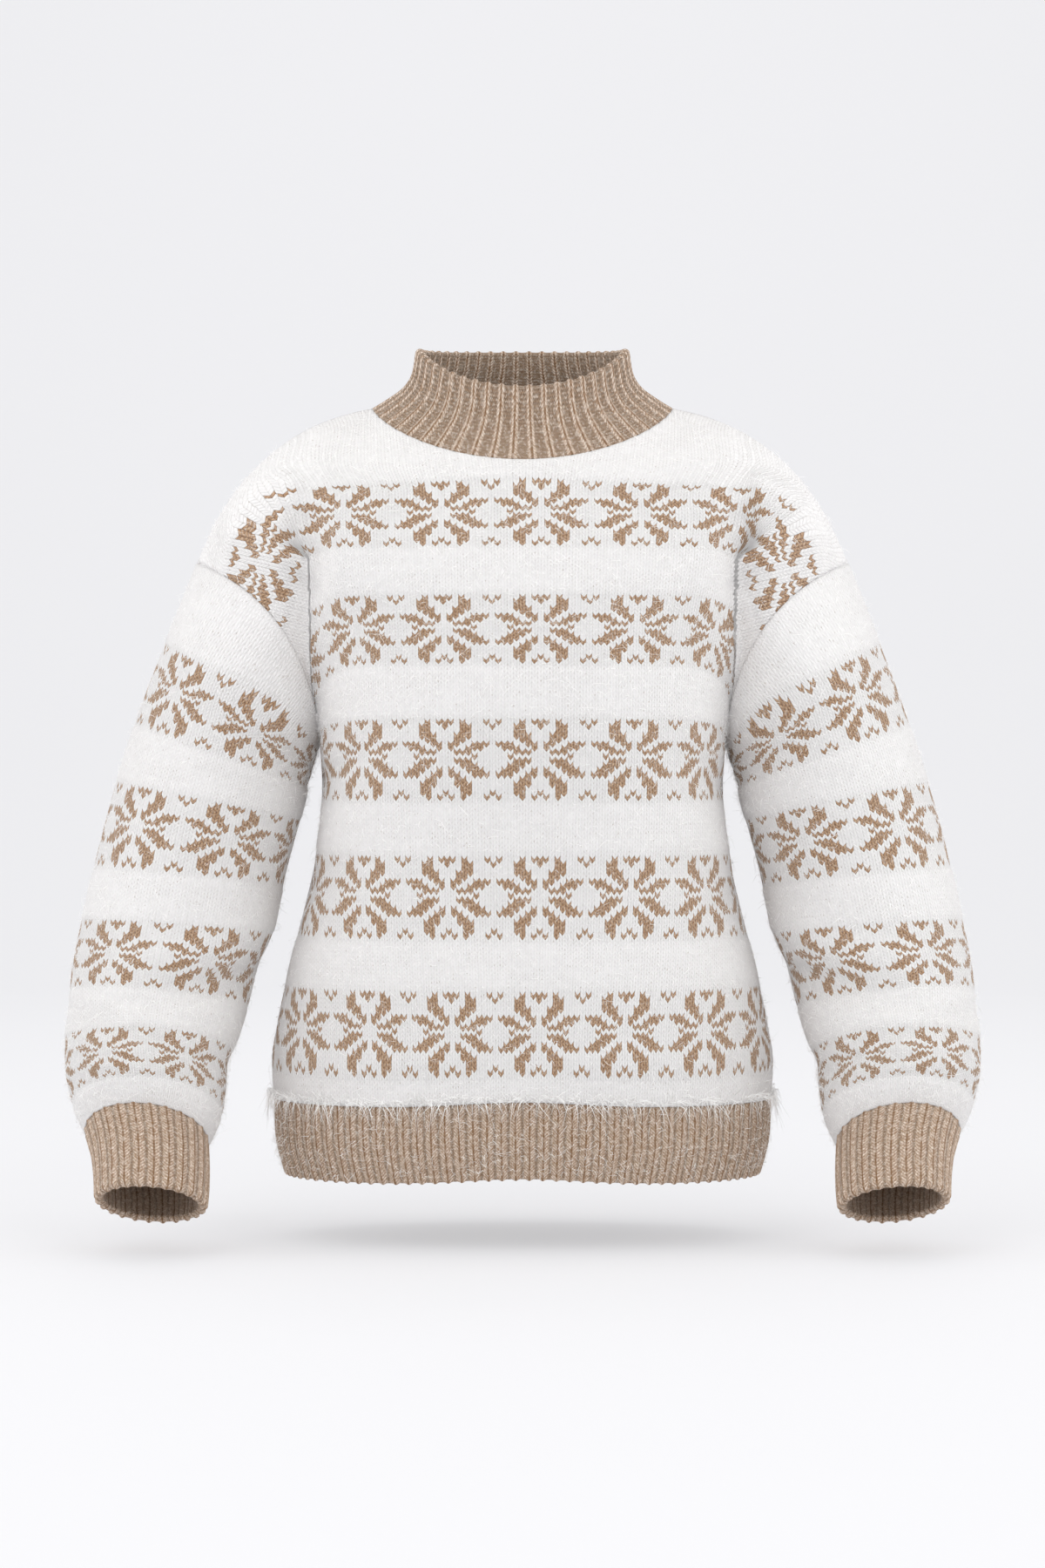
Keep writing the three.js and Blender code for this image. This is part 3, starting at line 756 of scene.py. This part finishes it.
def stitch_height(u, v, slant):
    """Legs of plain knit: two slanting legs in each wale, one above the other"""
    across = u.fraction()
    lean = abs(across - 0.5) * 2 * slant
    up = (v - lean).fraction()
    legs = abs((across * (2 * math.pi)).sine()) ** 0.55
    body = abs((up * math.pi).sine()) ** 0.5
    return legs * body, (v - lean).floor()


def snowflake_mask(u, row):
    """1 where a stitch is in the motif yarn"""
    column = (u.floor() + REPEAT / 2) % REPEAT - REPEAT / 2
    away = abs(column)
    band_row = (row - FIRST_BAND) % PERIOD
    above_hem = row > FIRST_BAND - 0.5
    below_top = row < TOP_OF_BANDS - 0.5
    code = 0
    for index, stitches in enumerate(STAR):
        code = band_row.equals(index + 1.0) * float(sum(2 ** s for s in stitches)) + code
    in_band = band_row < BAND - 0.5
    bit = ((code / (2 ** away) + 0.001).floor()) % 2
    shown = in_band * above_hem * below_top
    return bit * shown, shown


def knit_material(colours):
    nodes = Nodes("white_knit")
    place, u, v = nodes.knit_place()
    where = nodes.object_place()
    wobble = (nodes.streaks(place, (0.9, 0.9, 0.9)) - 0.5) * 0.2
    u = u + wobble
    v = v + wobble
    height, row = stitch_height(u, v, 0.85)
    motif, in_band = snowflake_mask(u, row)
    haze = nodes.noise(where, 45.0, 3.0)
    fibres = nodes.noise(nodes.stretched(where, (1.0, 1.0, 0.45)), 900.0, 3.0, 0.7)
    clumps = nodes.noise(where, 230.0, 3.0, 0.6)
    patches = nodes.ramp(nodes.streaks(place, (0.11, 0.16, 1.0), 3.0), 0.38, 0.62)
    hole = 1 - nodes.ramp(height, 0.06, 0.4)
    between = 1 - nodes.ramp(abs((u * math.pi).sine()), 0.02, 0.22)
    white = nodes.blend(haze, whole(tuple(0.96 * c for c in colours.white)), whole(colours.white))
    # Painted shade: the white greys where the tufts are thin
    tufts = nodes.ramp(nodes.noise(where, 170.0, 4.0, 0.65), 0.36, 0.64)
    white = nodes.blend((1 - tufts) * 0.13, white, whole(TUFT_SHADE))
    # Painted shade in the stitch holes, in the gaps between the wales, and brown in scattered holes
    shown = 0.06 + 0.3 * patches
    ground = nodes.blend(hole * shown, white, whole(HOLE_SHADE))
    ground = nodes.blend(between * (0.06 + 0.16 * in_band), ground, whole(GAP_SHADE))
    scattered = nodes.ramp(nodes.streaks(place, (0.7, 0.7, 1.0)), 0.6, 0.68)
    ground = nodes.blend(hole * scattered * 0.5, ground, whole(LOOP_SHADE))
    first = nodes.streaks(place, (3.4, 1.6, 1.0), 3.0, 0.7)
    second = nodes.streaks(place, (1.1, 1.1, 1.0), 2.0, 0.6)
    yarn = nodes.blend(nodes.ramp(first, 0.42, 0.62), whole(colours.motif), whole(colours.motif_pale))
    # Painted shade in the gaps between the snowflake stitches, where the stitch relief is low
    yarn = nodes.blend((1 - nodes.ramp(height, 0.1, 0.62)) * 0.85, yarn, whole(colours.motif_gap_shade))
    yarn = nodes.blend(nodes.ramp(second, 0.52, 0.75) * 0.3, yarn, whole(colours.white))
    mask = nodes.ramp(motif + (clumps - 0.5) * 0.5, 0.25, 0.7) * motif
    colour = nodes.blend(mask * 0.97, ground, yarn)
    colour = nodes.blend(nodes.ramp(fibres, 0.64, 0.8) * 0.3, colour, whole(colours.white))
    relief = height * (0.5 + 0.2 * in_band) + fibres * 0.5 + clumps * 0.5
    return nodes.brushed(colour, 0.93 - 0.05 * clumps, relief, 0.0012, 0.3, (1.0, 0.99, 0.98))


def rib_material(colours, name, wale_edge, highlight_share):
    """Ribbed knit: wales lightened with cream as a painted highlight, painted shade in rust down their
    groove and between their stitches, and painted shade on the purl stitches between them
    """
    nodes = Nodes(name)
    place, u, v = nodes.knit_place()
    where = nodes.object_place()
    wobble = (nodes.streaks(place, (1.2, 0.35, 1.0)) - 0.5) * 0.08
    rib = (u + wobble).fraction()
    from_wale = abs(rib - 0.5)
    wale = 1 - nodes.ramp(from_wale, wale_edge - 0.05, wale_edge + 0.05)
    lean = from_wale * 4.2
    legs = abs(((v + lean).fraction() * math.pi).sine()) ** 0.8
    zigzag = (((rib + 0.5) * 9.0).fraction() - 0.5) * 1.4
    purl = abs(((v * 1.15 + abs(zigzag)).fraction() * math.pi).sine())
    height = (0.55 + 0.45 * legs) * wale + purl * 0.5 * (1 - wale)
    fibres = nodes.noise(where, 1000.0, 3.0, 0.7)
    streaks = nodes.streaks(place, (9.0, 0.8, 1.0), 3.0, 0.7)
    yarn = marled(nodes, place, (6.0, 1.1, 1.0), colours)
    # Painted highlight: the cream ply of the marled yarn laid on the raised wales only
    lit = nodes.blend(wale * nodes.ramp(streaks, 0.4, 0.6) * highlight_share, yarn, whole(colours.cream))
    # Painted shade in rust between the stacked stitches of each wale
    lit = nodes.blend(wale * (1 - nodes.ramp(legs, 0.2, 0.75)) * 0.55, lit, whole(colours.rust))
    # Painted shade in rust down the groove in the middle of each wale
    groove = 1 - nodes.ramp(from_wale, 0.03, 0.1)
    colour = nodes.blend(groove * (0.5 + 0.5 * nodes.ramp(streaks, 0.36, 0.6)), lit, whole(colours.rust))
    # Painted shade on the purl stitches in the valleys between the ribs
    valley_shade = (1 - wale) * (1 - nodes.ramp(purl, 0.3, 0.85))
    colour = nodes.blend(valley_shade * 0.72, colour, whole(colours.shade))
    patch = nodes.streaks(place, (2.6, 0.5, 1.0), 3.0, 0.7)
    colour = nodes.blend(nodes.ramp(patch, 0.52, 0.66) * 0.4, colour, whole(colours.cream))
    colour = nodes.blend(nodes.ramp(patch, 0.48, 0.34) * 0.25, colour, whole(colours.rust))
    colour = nodes.blend(nodes.ramp(fibres, 0.62, 0.76) * 0.35, colour, whole(colours.cream))
    relief = height + fibres * 0.3
    return nodes.brushed(colour, 0.9 - 0.06 * fibres, relief, 0.0014, 0.2, (0.95, 0.85, 0.75))


def hair_material(name, colour):
    nodes = Nodes(name)
    where = nodes.object_place()
    tone = nodes.noise(where, 300.0, 1.0)
    shade = nodes.blend(tone, whole(tuple(0.96 * c for c in colour)), whole(colour))
    return nodes.surface(Base_Color=shade, Roughness=0.75, Specular_IOR_Level=0.3,
                         Emission_Color=whole(HAIR_LIGHT), Emission_Strength=HAIR_GLOW)


def stage_material():
    """A pale floor lit a little from within, so that shadows on it stay soft and light"""
    nodes = Nodes("pale_floor")
    where = nodes.object_place()
    tone = nodes.noise(where, 1.5, 2.0)
    colour = nodes.blend(tone, whole(FLOOR_TONES[0]), whole(FLOOR_TONES[1]))
    return nodes.surface(Base_Color=colour, Roughness=0.9,
                         Emission_Color=whole(FLOOR_LIGHT), Emission_Strength=FLOOR_GLOW)


def material(name):
    if name not in bpy.data.materials:
        colours = bpy.context.scene.jumper_colours
        if name == "white_knit":
            knit_material(colours)
        elif name == "neck_rib":
            rib_material(colours, name, 0.22, 0.9)
        elif name == "welt_rib":
            rib_material(colours, name, 0.4, 0.5)
        elif name == "white_hair":
            hair_material(name, HAIR_COLOUR)
    return bpy.data.materials[name]


# Pieces


def plain_bands(course):
    """1 on a plain brushed band, 0 on a motif band, with soft edges"""
    band_row = (course - FIRST_BAND) % PERIOD
    into = np.minimum(band_row, BAND - band_row)
    edge = smoothstep(-into, -0.6, 0.6)
    below = smoothstep(-course, -FIRST_BAND - 0.6, -FIRST_BAND + 0.6)
    return np.where(course < FIRST_BAND, below, np.where(course > TOP_OF_BANDS, 1.0, edge))


def bend_band(points, level, u, course):
    """Knit coordinates of the front where its top band turns down between crease and armhole"""
    out = np.abs(points[..., 0]) - BEND["x"]
    up = points[..., 2] - BEND["z"]
    turn = BEND["turn"]
    angle = np.arctan2(out, up)
    straight = angle > turn
    reach = np.where(straight, out * math.sin(turn) + up * math.cos(turn), np.hypot(out, up))
    along = np.where(straight, BEND["middle"] * turn + out * math.cos(turn) - up * math.sin(turn),
                     BEND["middle"] * angle)
    scale = BEND["level_course"] + (BEND["course"] - BEND["level_course"]) * smoothstep(angle, 0, 1)
    inside = (out > 0) & (level > UNDERARM_LEVEL + 1)
    width = 0.01 + BEND_BLEND * smoothstep(up, -6, 12)
    share = np.where(inside, smoothstep(out / width, 0, 1), 0)
    bent = course + (BEND_COURSE + reach / scale - course) * share
    for side, star in BEND_STAR.items():
        own = points[..., 0] * side > 0
        edge = own & (np.abs(out) < 4) & (up > 5) & (up < 60)
        start = u[edge].mean()
        gap = abs(star["stitch"] - start)
        near = star["along"] - BEND_STAR_HALF * BEND_STITCH
        far = star["along"] + BEND_STAR_HALF * BEND_STITCH
        steps = np.interp(along, (0, near, far, far + 100),
                          (0, gap - BEND_STAR_HALF, gap + BEND_STAR_HALF, gap + BEND_STAR_HALF + 20))
        u = np.where(own, u + (start + side * steps - u) * share * (1 - smoothstep(bent, 151, 157)), u)
    return u, bent


def crease_height(points):
    height = np.zeros(points.shape[:-1])
    for values in BODY_CREASES:
        crease = dict(zip(CREASE_COLUMNS, values))
        dx = points[..., 0] - crease["x"]
        dz = points[..., 2] - crease["z"]
        slope = crease["slope"]
        long = (dx + slope * dz) / math.hypot(1, slope)
        wide = (dz - slope * dx) / math.hypot(1, slope)
        fall = (long / crease["run"]) ** 2 + (wide / crease["width"]) ** 2
        height = height + crease["height"] * np.exp(-fall)
    return height


def panel_points(face):
    sizes = bpy.context.scene.jumper_sizes
    steps = sizes.panel_detail
    points, across, level = panel_grid(face, steps, PANEL_FILL)
    course = np.interp(level, *zip(*COURSES))
    width = np.interp(level, *zip(*STITCH_WIDTHS))
    wider = smoothstep(level, UNDERARM_LEVEL, WIDER_LEVEL) * WIDER_SHARE
    beyond = np.maximum(np.abs(across) - WIDER_FROM, 0)
    even = across - np.sign(across) * beyond * wider
    turn = -FACE_SIGN[face]
    u = turn * even / width - MOTIF_OFFSET + 0.5
    if face == "front":
        u, course = bend_band(points, level, u, course)
    normals = grid_normals(points, False) * turn
    rows, columns = (np.arange(count) for count in points.shape[:2])
    edge = np.minimum(columns, columns[::-1])[None, :] / steps
    rim = np.minimum(rows, rows[::-1])[:, None] / PANEL_FILL
    calm = smoothstep(edge, 0, 1.2) * smoothstep(rim, 0, 1)
    lift = plain_bands(course) * sizes.band_lift / MM
    wave, height = PANEL_UNEVEN
    uneven = wander(points, wave, UNEVEN_SEED[face]) * height
    lift = lift + calm * (crease_height(points) + uneven)
    puff = smoothstep(-np.abs(level - PUFF_LEVEL), -PUFF_HALF, 0) * PUFF_HEIGHT
    points = points + normals * (lift + puff * calm)[..., None]
    return points, np.stack([u, course], axis=2), normals


def build_panel(face):
    points, uv, _ = panel_points(face)
    for c in (0, -1):
        y = points[:, c, 1]
        points[:, c, 1] = np.where(np.abs(y) < SEAM_GAP, FACE_SIGN[face] * SEAM_GAP / 2, y)
    rows, columns = points.shape[:2]
    faces = grid_faces(rows, columns, False, False, face == "back")
    piece = new_piece(f"{face}_knit", points.reshape(-1, 3), faces, uv.reshape(-1, 2),
                      material("white_knit"))
    give_wall(piece, WALL)
    dress(piece, f"{face}_panel")
    area = float(cloth_area(points))
    return piece


def cloth_area(points):
    """Area of a grid in square metres"""
    a = np.cross(points[1:, :-1] - points[:-1, :-1], points[:-1, 1:] - points[:-1, :-1])
    b = np.cross(points[1:, :-1] - points[1:, 1:], points[:-1, 1:] - points[1:, 1:])
    return (np.linalg.norm(a, axis=2).sum() + np.linalg.norm(b, axis=2).sum()) / 2 * MM * MM


def sleeve_points(side):
    """Rows down the sleeve by columns round it, with the knit coordinate and outward directions"""
    sizes = bpy.context.scene.jumper_sizes
    angles = np.linspace(0, 2 * math.pi, SLEEVE_COLUMNS, endpoint=False)
    rings = np.array([armhole_ring(angles)] + [section_ring(values, angles) for values in SLEEVE])
    points = fill_rows(rings, SLEEVE_FILL)
    down = np.linspace(0, len(SLEEVE), len(points))[:, None]
    around = np.degrees(angles)[None, :]
    middle = points.mean(axis=1, keepdims=True)
    away = points - middle
    away = away / np.linalg.norm(away, axis=2, keepdims=True)
    points = points + away * fold_height(down, around, FOLDS)[..., None]
    normals = grid_normals(points, True)
    inside = smoothstep(np.minimum(around, 360 - around), 15, 140)
    fade = np.clip(1 - down / BAND_RISE_END, 0, 1)
    course = np.interp(down + BAND_RISE * inside * fade, *zip(*sorted(SLEEVE_COURSES)))
    calm = smoothstep(down, 0, 0.5) * smoothstep(-down, -len(SLEEVE), -len(SLEEVE) + 0.4)
    lift = plain_bands(course) * sizes.band_lift / MM
    wave, height = SLEEVE_UNEVEN
    uneven = wander(points, wave, UNEVEN_SEED[side]) * height
    lift = lift + calm * (fold_height(down, around, FINE_FOLDS) + uneven)
    points = points + normals * lift[..., None]
    u = SLEEVE_STITCHES * around / 360 + 0.5 + np.interp(down, STAR_SHIFT_DOWN, STAR_SHIFT[side])
    if side == "left":
        points = points * MIRROR
        normals = normals * MIRROR
        u = 1 - u
    return points, np.stack([u, course], axis=2), normals


def build_sleeve(side):
    points, uv, _ = sleeve_points(side)
    rows, columns = points.shape[:2]
    faces = grid_faces(rows, columns, True, False, side == "left")
    flat_uv = uv.reshape(-1, 2)
    period = SLEEVE_STITCHES if side == "right" else -SLEEVE_STITCHES
    corners = corner_uvs(faces, flat_uv, period, columns)
    piece = new_piece(f"{side}_sleeve_knit", points.reshape(-1, 3), faces, corners,
                      material("white_knit"))
    give_wall(piece, WALL)
    dress(piece, f"{side}_sleeve")
    area = float(cloth_area(np.concatenate([points, points[:, :1]], axis=1)))
    return piece


def rib_relief(share):
    """Height of a rib across its width: a raised wale with a groove down its middle"""
    wale = np.exp(-(((share - 0.5) / WALE_WIDTH) ** 2) * 1.2)
    groove = np.exp(-(((share - 0.5) / GROOVE_WIDTH) ** 2))
    return wale - GROOVE_DEPTH * groove


def rib_wall(rows, normals, thickness, per_rib):
    """A closed wall with ribs outside, a rounded rim and its inner side, as a grid"""
    lift = bpy.context.scene.jumper_sizes.rib_height / MM
    rib = np.arange(rows.shape[1]) / per_rib
    relief = rib_relief(rib % 1.0)[None, :, None] * lift
    outer = rows + normals * relief
    inner = rows - normals * (thickness - relief * 0.75)
    half = thickness / 2
    onward = rows[-1] - rows[-2]
    onward = onward / np.linalg.norm(onward, axis=1, keepdims=True)
    centre = rows[-1] - normals[-1] * half
    rim = []
    for turn in np.linspace(0, math.pi, RIM_STEPS)[1:-1]:
        reach = half + relief[0] * (0.5 + 0.5 * math.cos(turn) + 0.35 * math.sin(turn))
        rim.append(centre + normals[-1] * reach * math.cos(turn) + onward * reach * math.sin(turn))
    return np.concatenate([outer, np.array(rim), inner[::-1]]), rib


def profile_courses(grid):
    """Course number round the wall, from the distance along its middle column"""
    steps = np.linalg.norm(np.diff(grid[:, grid.shape[1] // 2], axis=0), axis=1)
    return np.concatenate([[0], np.cumsum(steps)]) / RIB_COURSE


def build_rib(name, node, rows, normals, thickness, per_rib, closed, flip, knit):
    grid, rib = rib_wall(rows, normals, thickness, per_rib)
    course = profile_courses(grid)
    count, columns = grid.shape[:2]
    faces = grid_faces(count, columns, closed, True, flip)
    uv = np.stack(np.broadcast_arrays(rib[None, :], course[:, None]), axis=2)
    flat_uv = uv.reshape(-1, 2)
    corners = corner_uvs(faces, flat_uv, columns / per_rib, columns)
    if not closed:
        ends = [[r * columns for r in range(count)], [r * columns + columns - 1 for r in range(count)]]
        if flip:
            ends[1].reverse()
        else:
            ends[0].reverse()
        for end in ends:
            faces.append(tuple(end))
            corners.extend(tuple(flat_uv[i]) for i in end)
    piece = new_piece(name, grid.reshape(-1, 3), faces, corners, material(knit))
    dress(piece, node)
    return piece


def neck_rows():
    angles = np.linspace(0, 2 * math.pi, NECK_RIBS * FOLDED_RIB_STEPS, endpoint=False)
    rings = []
    for section in NECK:
        ring = neck_point(angles, section)
        ring[:, 1] *= np.where(np.cos(angles) >= 0, -1, 1)
        rings.append(ring)
    rows = fill_rows(np.array(rings), NECK_FILL)
    return rows, grid_normals(rows, True), FOLDED_RIB_STEPS


def hem_rows(face):
    sign = FACE_SIGN[face]
    half = HEM_RIBS // 2 * HEM_RIB_STEPS
    rows = []
    for section in HEM:
        points, _ = flat_half_section(section, face, 1, half)
        right = points * np.array([1, sign, 1])
        rows.append(np.concatenate([right[:0:-1] * MIRROR, right]))
    rows = fill_rows(np.array(rows), HEM_FILL)
    normals = grid_normals(rows, False) * sign
    rows[0, :, 2] -= SEAM_GAP
    for c in (0, -1):
        normals[:, c] = (-1 if c == 0 else 1, 0, 0)
        rows[:, c, 1] = sign * SEAM_GAP / 2
    return rows, normals, HEM_RIB_STEPS


def cuff_rows(side):
    angles = np.linspace(0, 2 * math.pi, CUFF_RIBS * FOLDED_RIB_STEPS, endpoint=False)
    rows = fill_rows(np.array([section_ring(values, angles) for values in CUFF]), CUFF_FILL)
    normals = grid_normals(rows, True)
    if side == "left":
        rows = rows * MIRROR
        normals = normals * MIRROR
    return rows, normals, FOLDED_RIB_STEPS


def grow_hairs(name, points, normals, count, seed, shortest, longest, thickness,
               rows_used=None, fall=0.1, stand=0.3):
    """Loose hairs on a grid, each a thin three-sided blade bent by its own weight"""
    rng = np.random.default_rng(seed)
    rows, columns = points.shape[:2]
    first_row, last_row = rows_used or (2, rows - 3)
    r = rng.uniform(first_row, last_row, count)
    c = rng.uniform(2, columns - 3, count)
    r0, c0 = r.astype(int), c.astype(int)
    fr, fc = (r - r0)[:, None], (c - c0)[:, None]
    root = ((1 - fr) * ((1 - fc) * points[r0, c0] + fc * points[r0, c0 + 1])
            + fr * ((1 - fc) * points[r0 + 1, c0] + fc * points[r0 + 1, c0 + 1]))
    normal = normals[r0, c0]
    side = rng.normal(size=(count, 3))
    side -= normal * np.sum(side * normal, axis=1, keepdims=True)
    side /= np.linalg.norm(side, axis=1, keepdims=True)
    reach = shortest + (longest - shortest) * rng.beta(*HAIR_SPREAD, count)[:, None]
    lift = rng.uniform(*HAIR_RISE, count)[:, None]
    curl = rng.normal(size=(count, 3)) * HAIR_CURL
    down = np.array([0, 0, -1.0])
    first = root + (normal * lift + side * (1 - lift)) * reach * HAIR_BEND + normal * stand
    onward = normal * lift * 0.4 + side * (1 - lift) + curl * 1.5 + down * fall
    tip = first + onward * reach * (1 - HAIR_BEND)
    thick = rng.uniform(0.6, 1.0, count)[:, None] * thickness
    across = np.cross(normal, side)
    corners = [across, -across * 0.5 + normal * 0.87, -across * 0.5 - normal * 0.87]
    rings = [root - normal * HAIR_ROOT, first]
    vertices = [ring + corner * thick * size for ring, size in zip(rings, (1, 0.85)) for corner in corners]
    vertices = np.stack([*vertices, tip], axis=1).reshape(-1, 3)
    own = [(0, 2, 1), (3, 4, 6), (4, 5, 6), (5, 3, 6)]
    for k in range(3):
        n = (k + 1) % 3
        own += [(k, n, 3 + n), (k, 3 + n, 3 + k)]
    faces = (np.arange(count)[:, None, None] * 7 + np.array(own)[None]).reshape(-1, 3)
    piece = smooth_object(name, (vertices * MM).tolist(), faces.tolist(), material("white_hair"))
    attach(piece, "root")
    return piece


# Operators


class JUMPER_OT_panels(bpy.types.Operator):
    """Knit the front and the back"""
    bl_idname = "jumper.panels"
    bl_label = "Front and back"

    def execute(self, context):
        for face in ("front", "back"):
            build_panel(face)
        return {"FINISHED"}


class JUMPER_OT_sleeves(bpy.types.Operator):
    """Knit both sleeves"""
    bl_idname = "jumper.sleeves"
    bl_label = "Sleeves"

    def execute(self, context):
        for side in ("left", "right"):
            build_sleeve(side)
        return {"FINISHED"}


class JUMPER_OT_neck(bpy.types.Operator):
    """Knit the folded neck rib"""
    bl_idname = "jumper.neck"
    bl_label = "Neck rib"

    def execute(self, context):
        rows, normals, per_rib = neck_rows()
        build_rib("neck_rib_knit", "neck_rib", rows, normals, FOLDED_WALL, per_rib, True, False, "neck_rib")
        return {"FINISHED"}


class JUMPER_OT_hem(bpy.types.Operator):
    """Knit the two halves of the hem rib"""
    bl_idname = "jumper.hem"
    bl_label = "Hem rib"

    def execute(self, context):
        for face in ("front", "back"):
            rows, normals, per_rib = hem_rows(face)
            build_rib(f"hem_{face}_knit", f"hem_{face}", rows, normals, HEM_WALL, per_rib, False,
                      face == "front", "welt_rib")
        return {"FINISHED"}


class JUMPER_OT_cuffs(bpy.types.Operator):
    """Knit both folded cuffs"""
    bl_idname = "jumper.cuffs"
    bl_label = "Cuffs"

    def execute(self, context):
        for side in ("left", "right"):
            rows, normals, per_rib = cuff_rows(side)
            build_rib(f"{side}_cuff_knit", f"{side}_cuff", rows, normals, FOLDED_WALL, per_rib, True,
                      side == "left", "welt_rib")
        return {"FINISHED"}


class JUMPER_OT_hairs(bpy.types.Operator):
    """Raise the loose hairs of the brushed yarn"""
    bl_idname = "jumper.hairs"
    bl_label = "Loose hairs"

    def execute(self, context):
        sizes = context.scene.jumper_sizes
        longest = sizes.hair_length / MM
        for seed, face in enumerate(("front", "back")):
            points, _, normals = panel_points(face)
            grow_hairs(f"{face}_hairs", points, normals, sizes.panel_hairs, 31 + seed, 2,
                       longest, HAIR)
            grow_hairs(f"{face}_edge_hairs", points, normals, EDGE_HAIRS, 51 + seed, 9,
                       1.4 * longest, LONG_HAIR, rows_used=(0.2, 1.3), fall=1.0, stand=1.4)
            points, normals, _ = hem_rows(face)
            grow_hairs(f"{face}_hem_hairs", points, normals, HEM_HAIRS, 61 + seed, 4,
                       longest, HAIR, stand=1.6)
        for seed, side in enumerate(("left", "right")):
            points, _, normals = sleeve_points(side)
            grow_hairs(f"{side}_sleeve_hairs", points, normals, sizes.sleeve_hairs, 41 + seed, 2,
                       longest, HAIR)
        return {"FINISHED"}


class JUMPER_OT_stage(bpy.types.Operator):
    """Set the pale floor, the soft lights and the camera"""
    bl_idname = "jumper.stage"
    bl_label = "Stage"

    def execute(self, context):
        build_floor()
        build_lights(context.scene)
        build_camera(context.scene)
        return {"FINISHED"}


def build_floor():
    """A floor that turns up into a backdrop behind the jumper"""
    half_width, front, back, radius, height = 7.0, -6.0, 3.2, 1.4, 5.0
    profile = [(front, FLOOR)]
    for step in range(BACKDROP_STEPS + 1):
        turn = math.pi / 2 * step / BACKDROP_STEPS
        profile.append((back + radius * math.sin(turn), FLOOR + radius * (1 - math.cos(turn))))
    profile.append((back + radius, height))
    vertices = [(x, y, z) for y, z in profile for x in (-half_width, half_width)]
    faces = [(2 * i, 2 * i + 1, 2 * i + 3, 2 * i + 2) for i in range(len(profile) - 1)]
    floor = smooth_object("floor", vertices, faces, stage_material())


LIGHTS = (
    # name, place, aimed at, size, watts
    ("key", (-1.5, -2.8, 2.1), (0.0, 0.0, -0.25), 3.0, 38),
    ("fill", (1.7, -2.8, 1.7), (0.0, 0.0, -0.3), 3.0, 33),
    ("left", (-3.0, -0.5, 0.7), (0.0, 0.0, -0.3), 2.6, 30),
    ("right", (3.0, -0.5, 0.7), (0.0, 0.0, -0.3), 2.6, 30),
    ("top", (0.0, 0.2, 3.0), (0.0, 0.0, -0.3), 3.8, 16),
    ("back_wall", (0.0, 1.8, 2.8), (0.0, 4.6, -0.2), 3.0, 20),
)


def build_lights(scene):
    for name, place, aim, size, watts in LIGHTS:
        data = bpy.data.lights.new(name, "AREA")
        data.shape = "DISK"
        data.size = size
        data.energy = watts
        light = bpy.data.objects.new(name, data)
        light.location = place
        light.rotation_euler = (Vector(aim) - Vector(place)).to_track_quat("-Z", "Y").to_euler()
        scene.collection.objects.link(light)
    world = bpy.data.worlds.new("soft_room")
    world.use_nodes = True
    world.node_tree.nodes["Background"].inputs[0].default_value = (1.0, 1.0, 1.0, 1)
    world.node_tree.nodes["Background"].inputs[1].default_value = ROOM_LIGHT
    scene.world = world
    scene.view_settings.view_transform = "Standard"


def build_camera(scene):
    data = bpy.data.cameras.new("camera")
    data.lens = CAMERA_LENS
    data.clip_end = 60
    camera = bpy.data.objects.new("camera", data)
    camera.location = (0, -CAMERA_DISTANCE, CAMERA_HEIGHT)
    camera.rotation_euler = (math.pi / 2, 0, 0)
    scene.collection.objects.link(camera)
    scene.camera = camera


class JUMPER_PT_panel(bpy.types.Panel):
    """Lists the jumper's pieces in the sidebar"""
    bl_idname = "JUMPER_PT_panel"
    bl_label = "Jumper"
    bl_space_type = "VIEW_3D"
    bl_region_type = "UI"
    bl_category = "Jumper"

    def draw(self, context):
        for group in (context.scene.jumper_sizes, context.scene.jumper_colours):
            for key in group.__annotations__:
                self.layout.prop(group, key)
        for operator in OPERATORS:
            self.layout.operator(operator.bl_idname)


OPERATORS = (JUMPER_OT_stage, JUMPER_OT_panels, JUMPER_OT_sleeves, JUMPER_OT_neck, JUMPER_OT_hem,
             JUMPER_OT_cuffs, JUMPER_OT_hairs)
CLASSES = (JumperSizes, JumperColours, *OPERATORS, JUMPER_PT_panel)


def register():
    for item in CLASSES:
        bpy.utils.register_class(item)
    bpy.types.Scene.jumper_sizes = PointerProperty(type=JumperSizes)
    bpy.types.Scene.jumper_colours = PointerProperty(type=JumperColours)


def unregister():
    del bpy.types.Scene.jumper_colours
    del bpy.types.Scene.jumper_sizes
    for item in reversed(CLASSES):
        bpy.utils.unregister_class(item)


def main():
    register()
    bpy.ops.jumper.stage()
    bpy.ops.jumper.panels()
    bpy.ops.jumper.sleeves()
    bpy.ops.jumper.neck()
    bpy.ops.jumper.hem()
    bpy.ops.jumper.cuffs()
    bpy.ops.jumper.hairs()


if __name__ == "__main__":
    main()
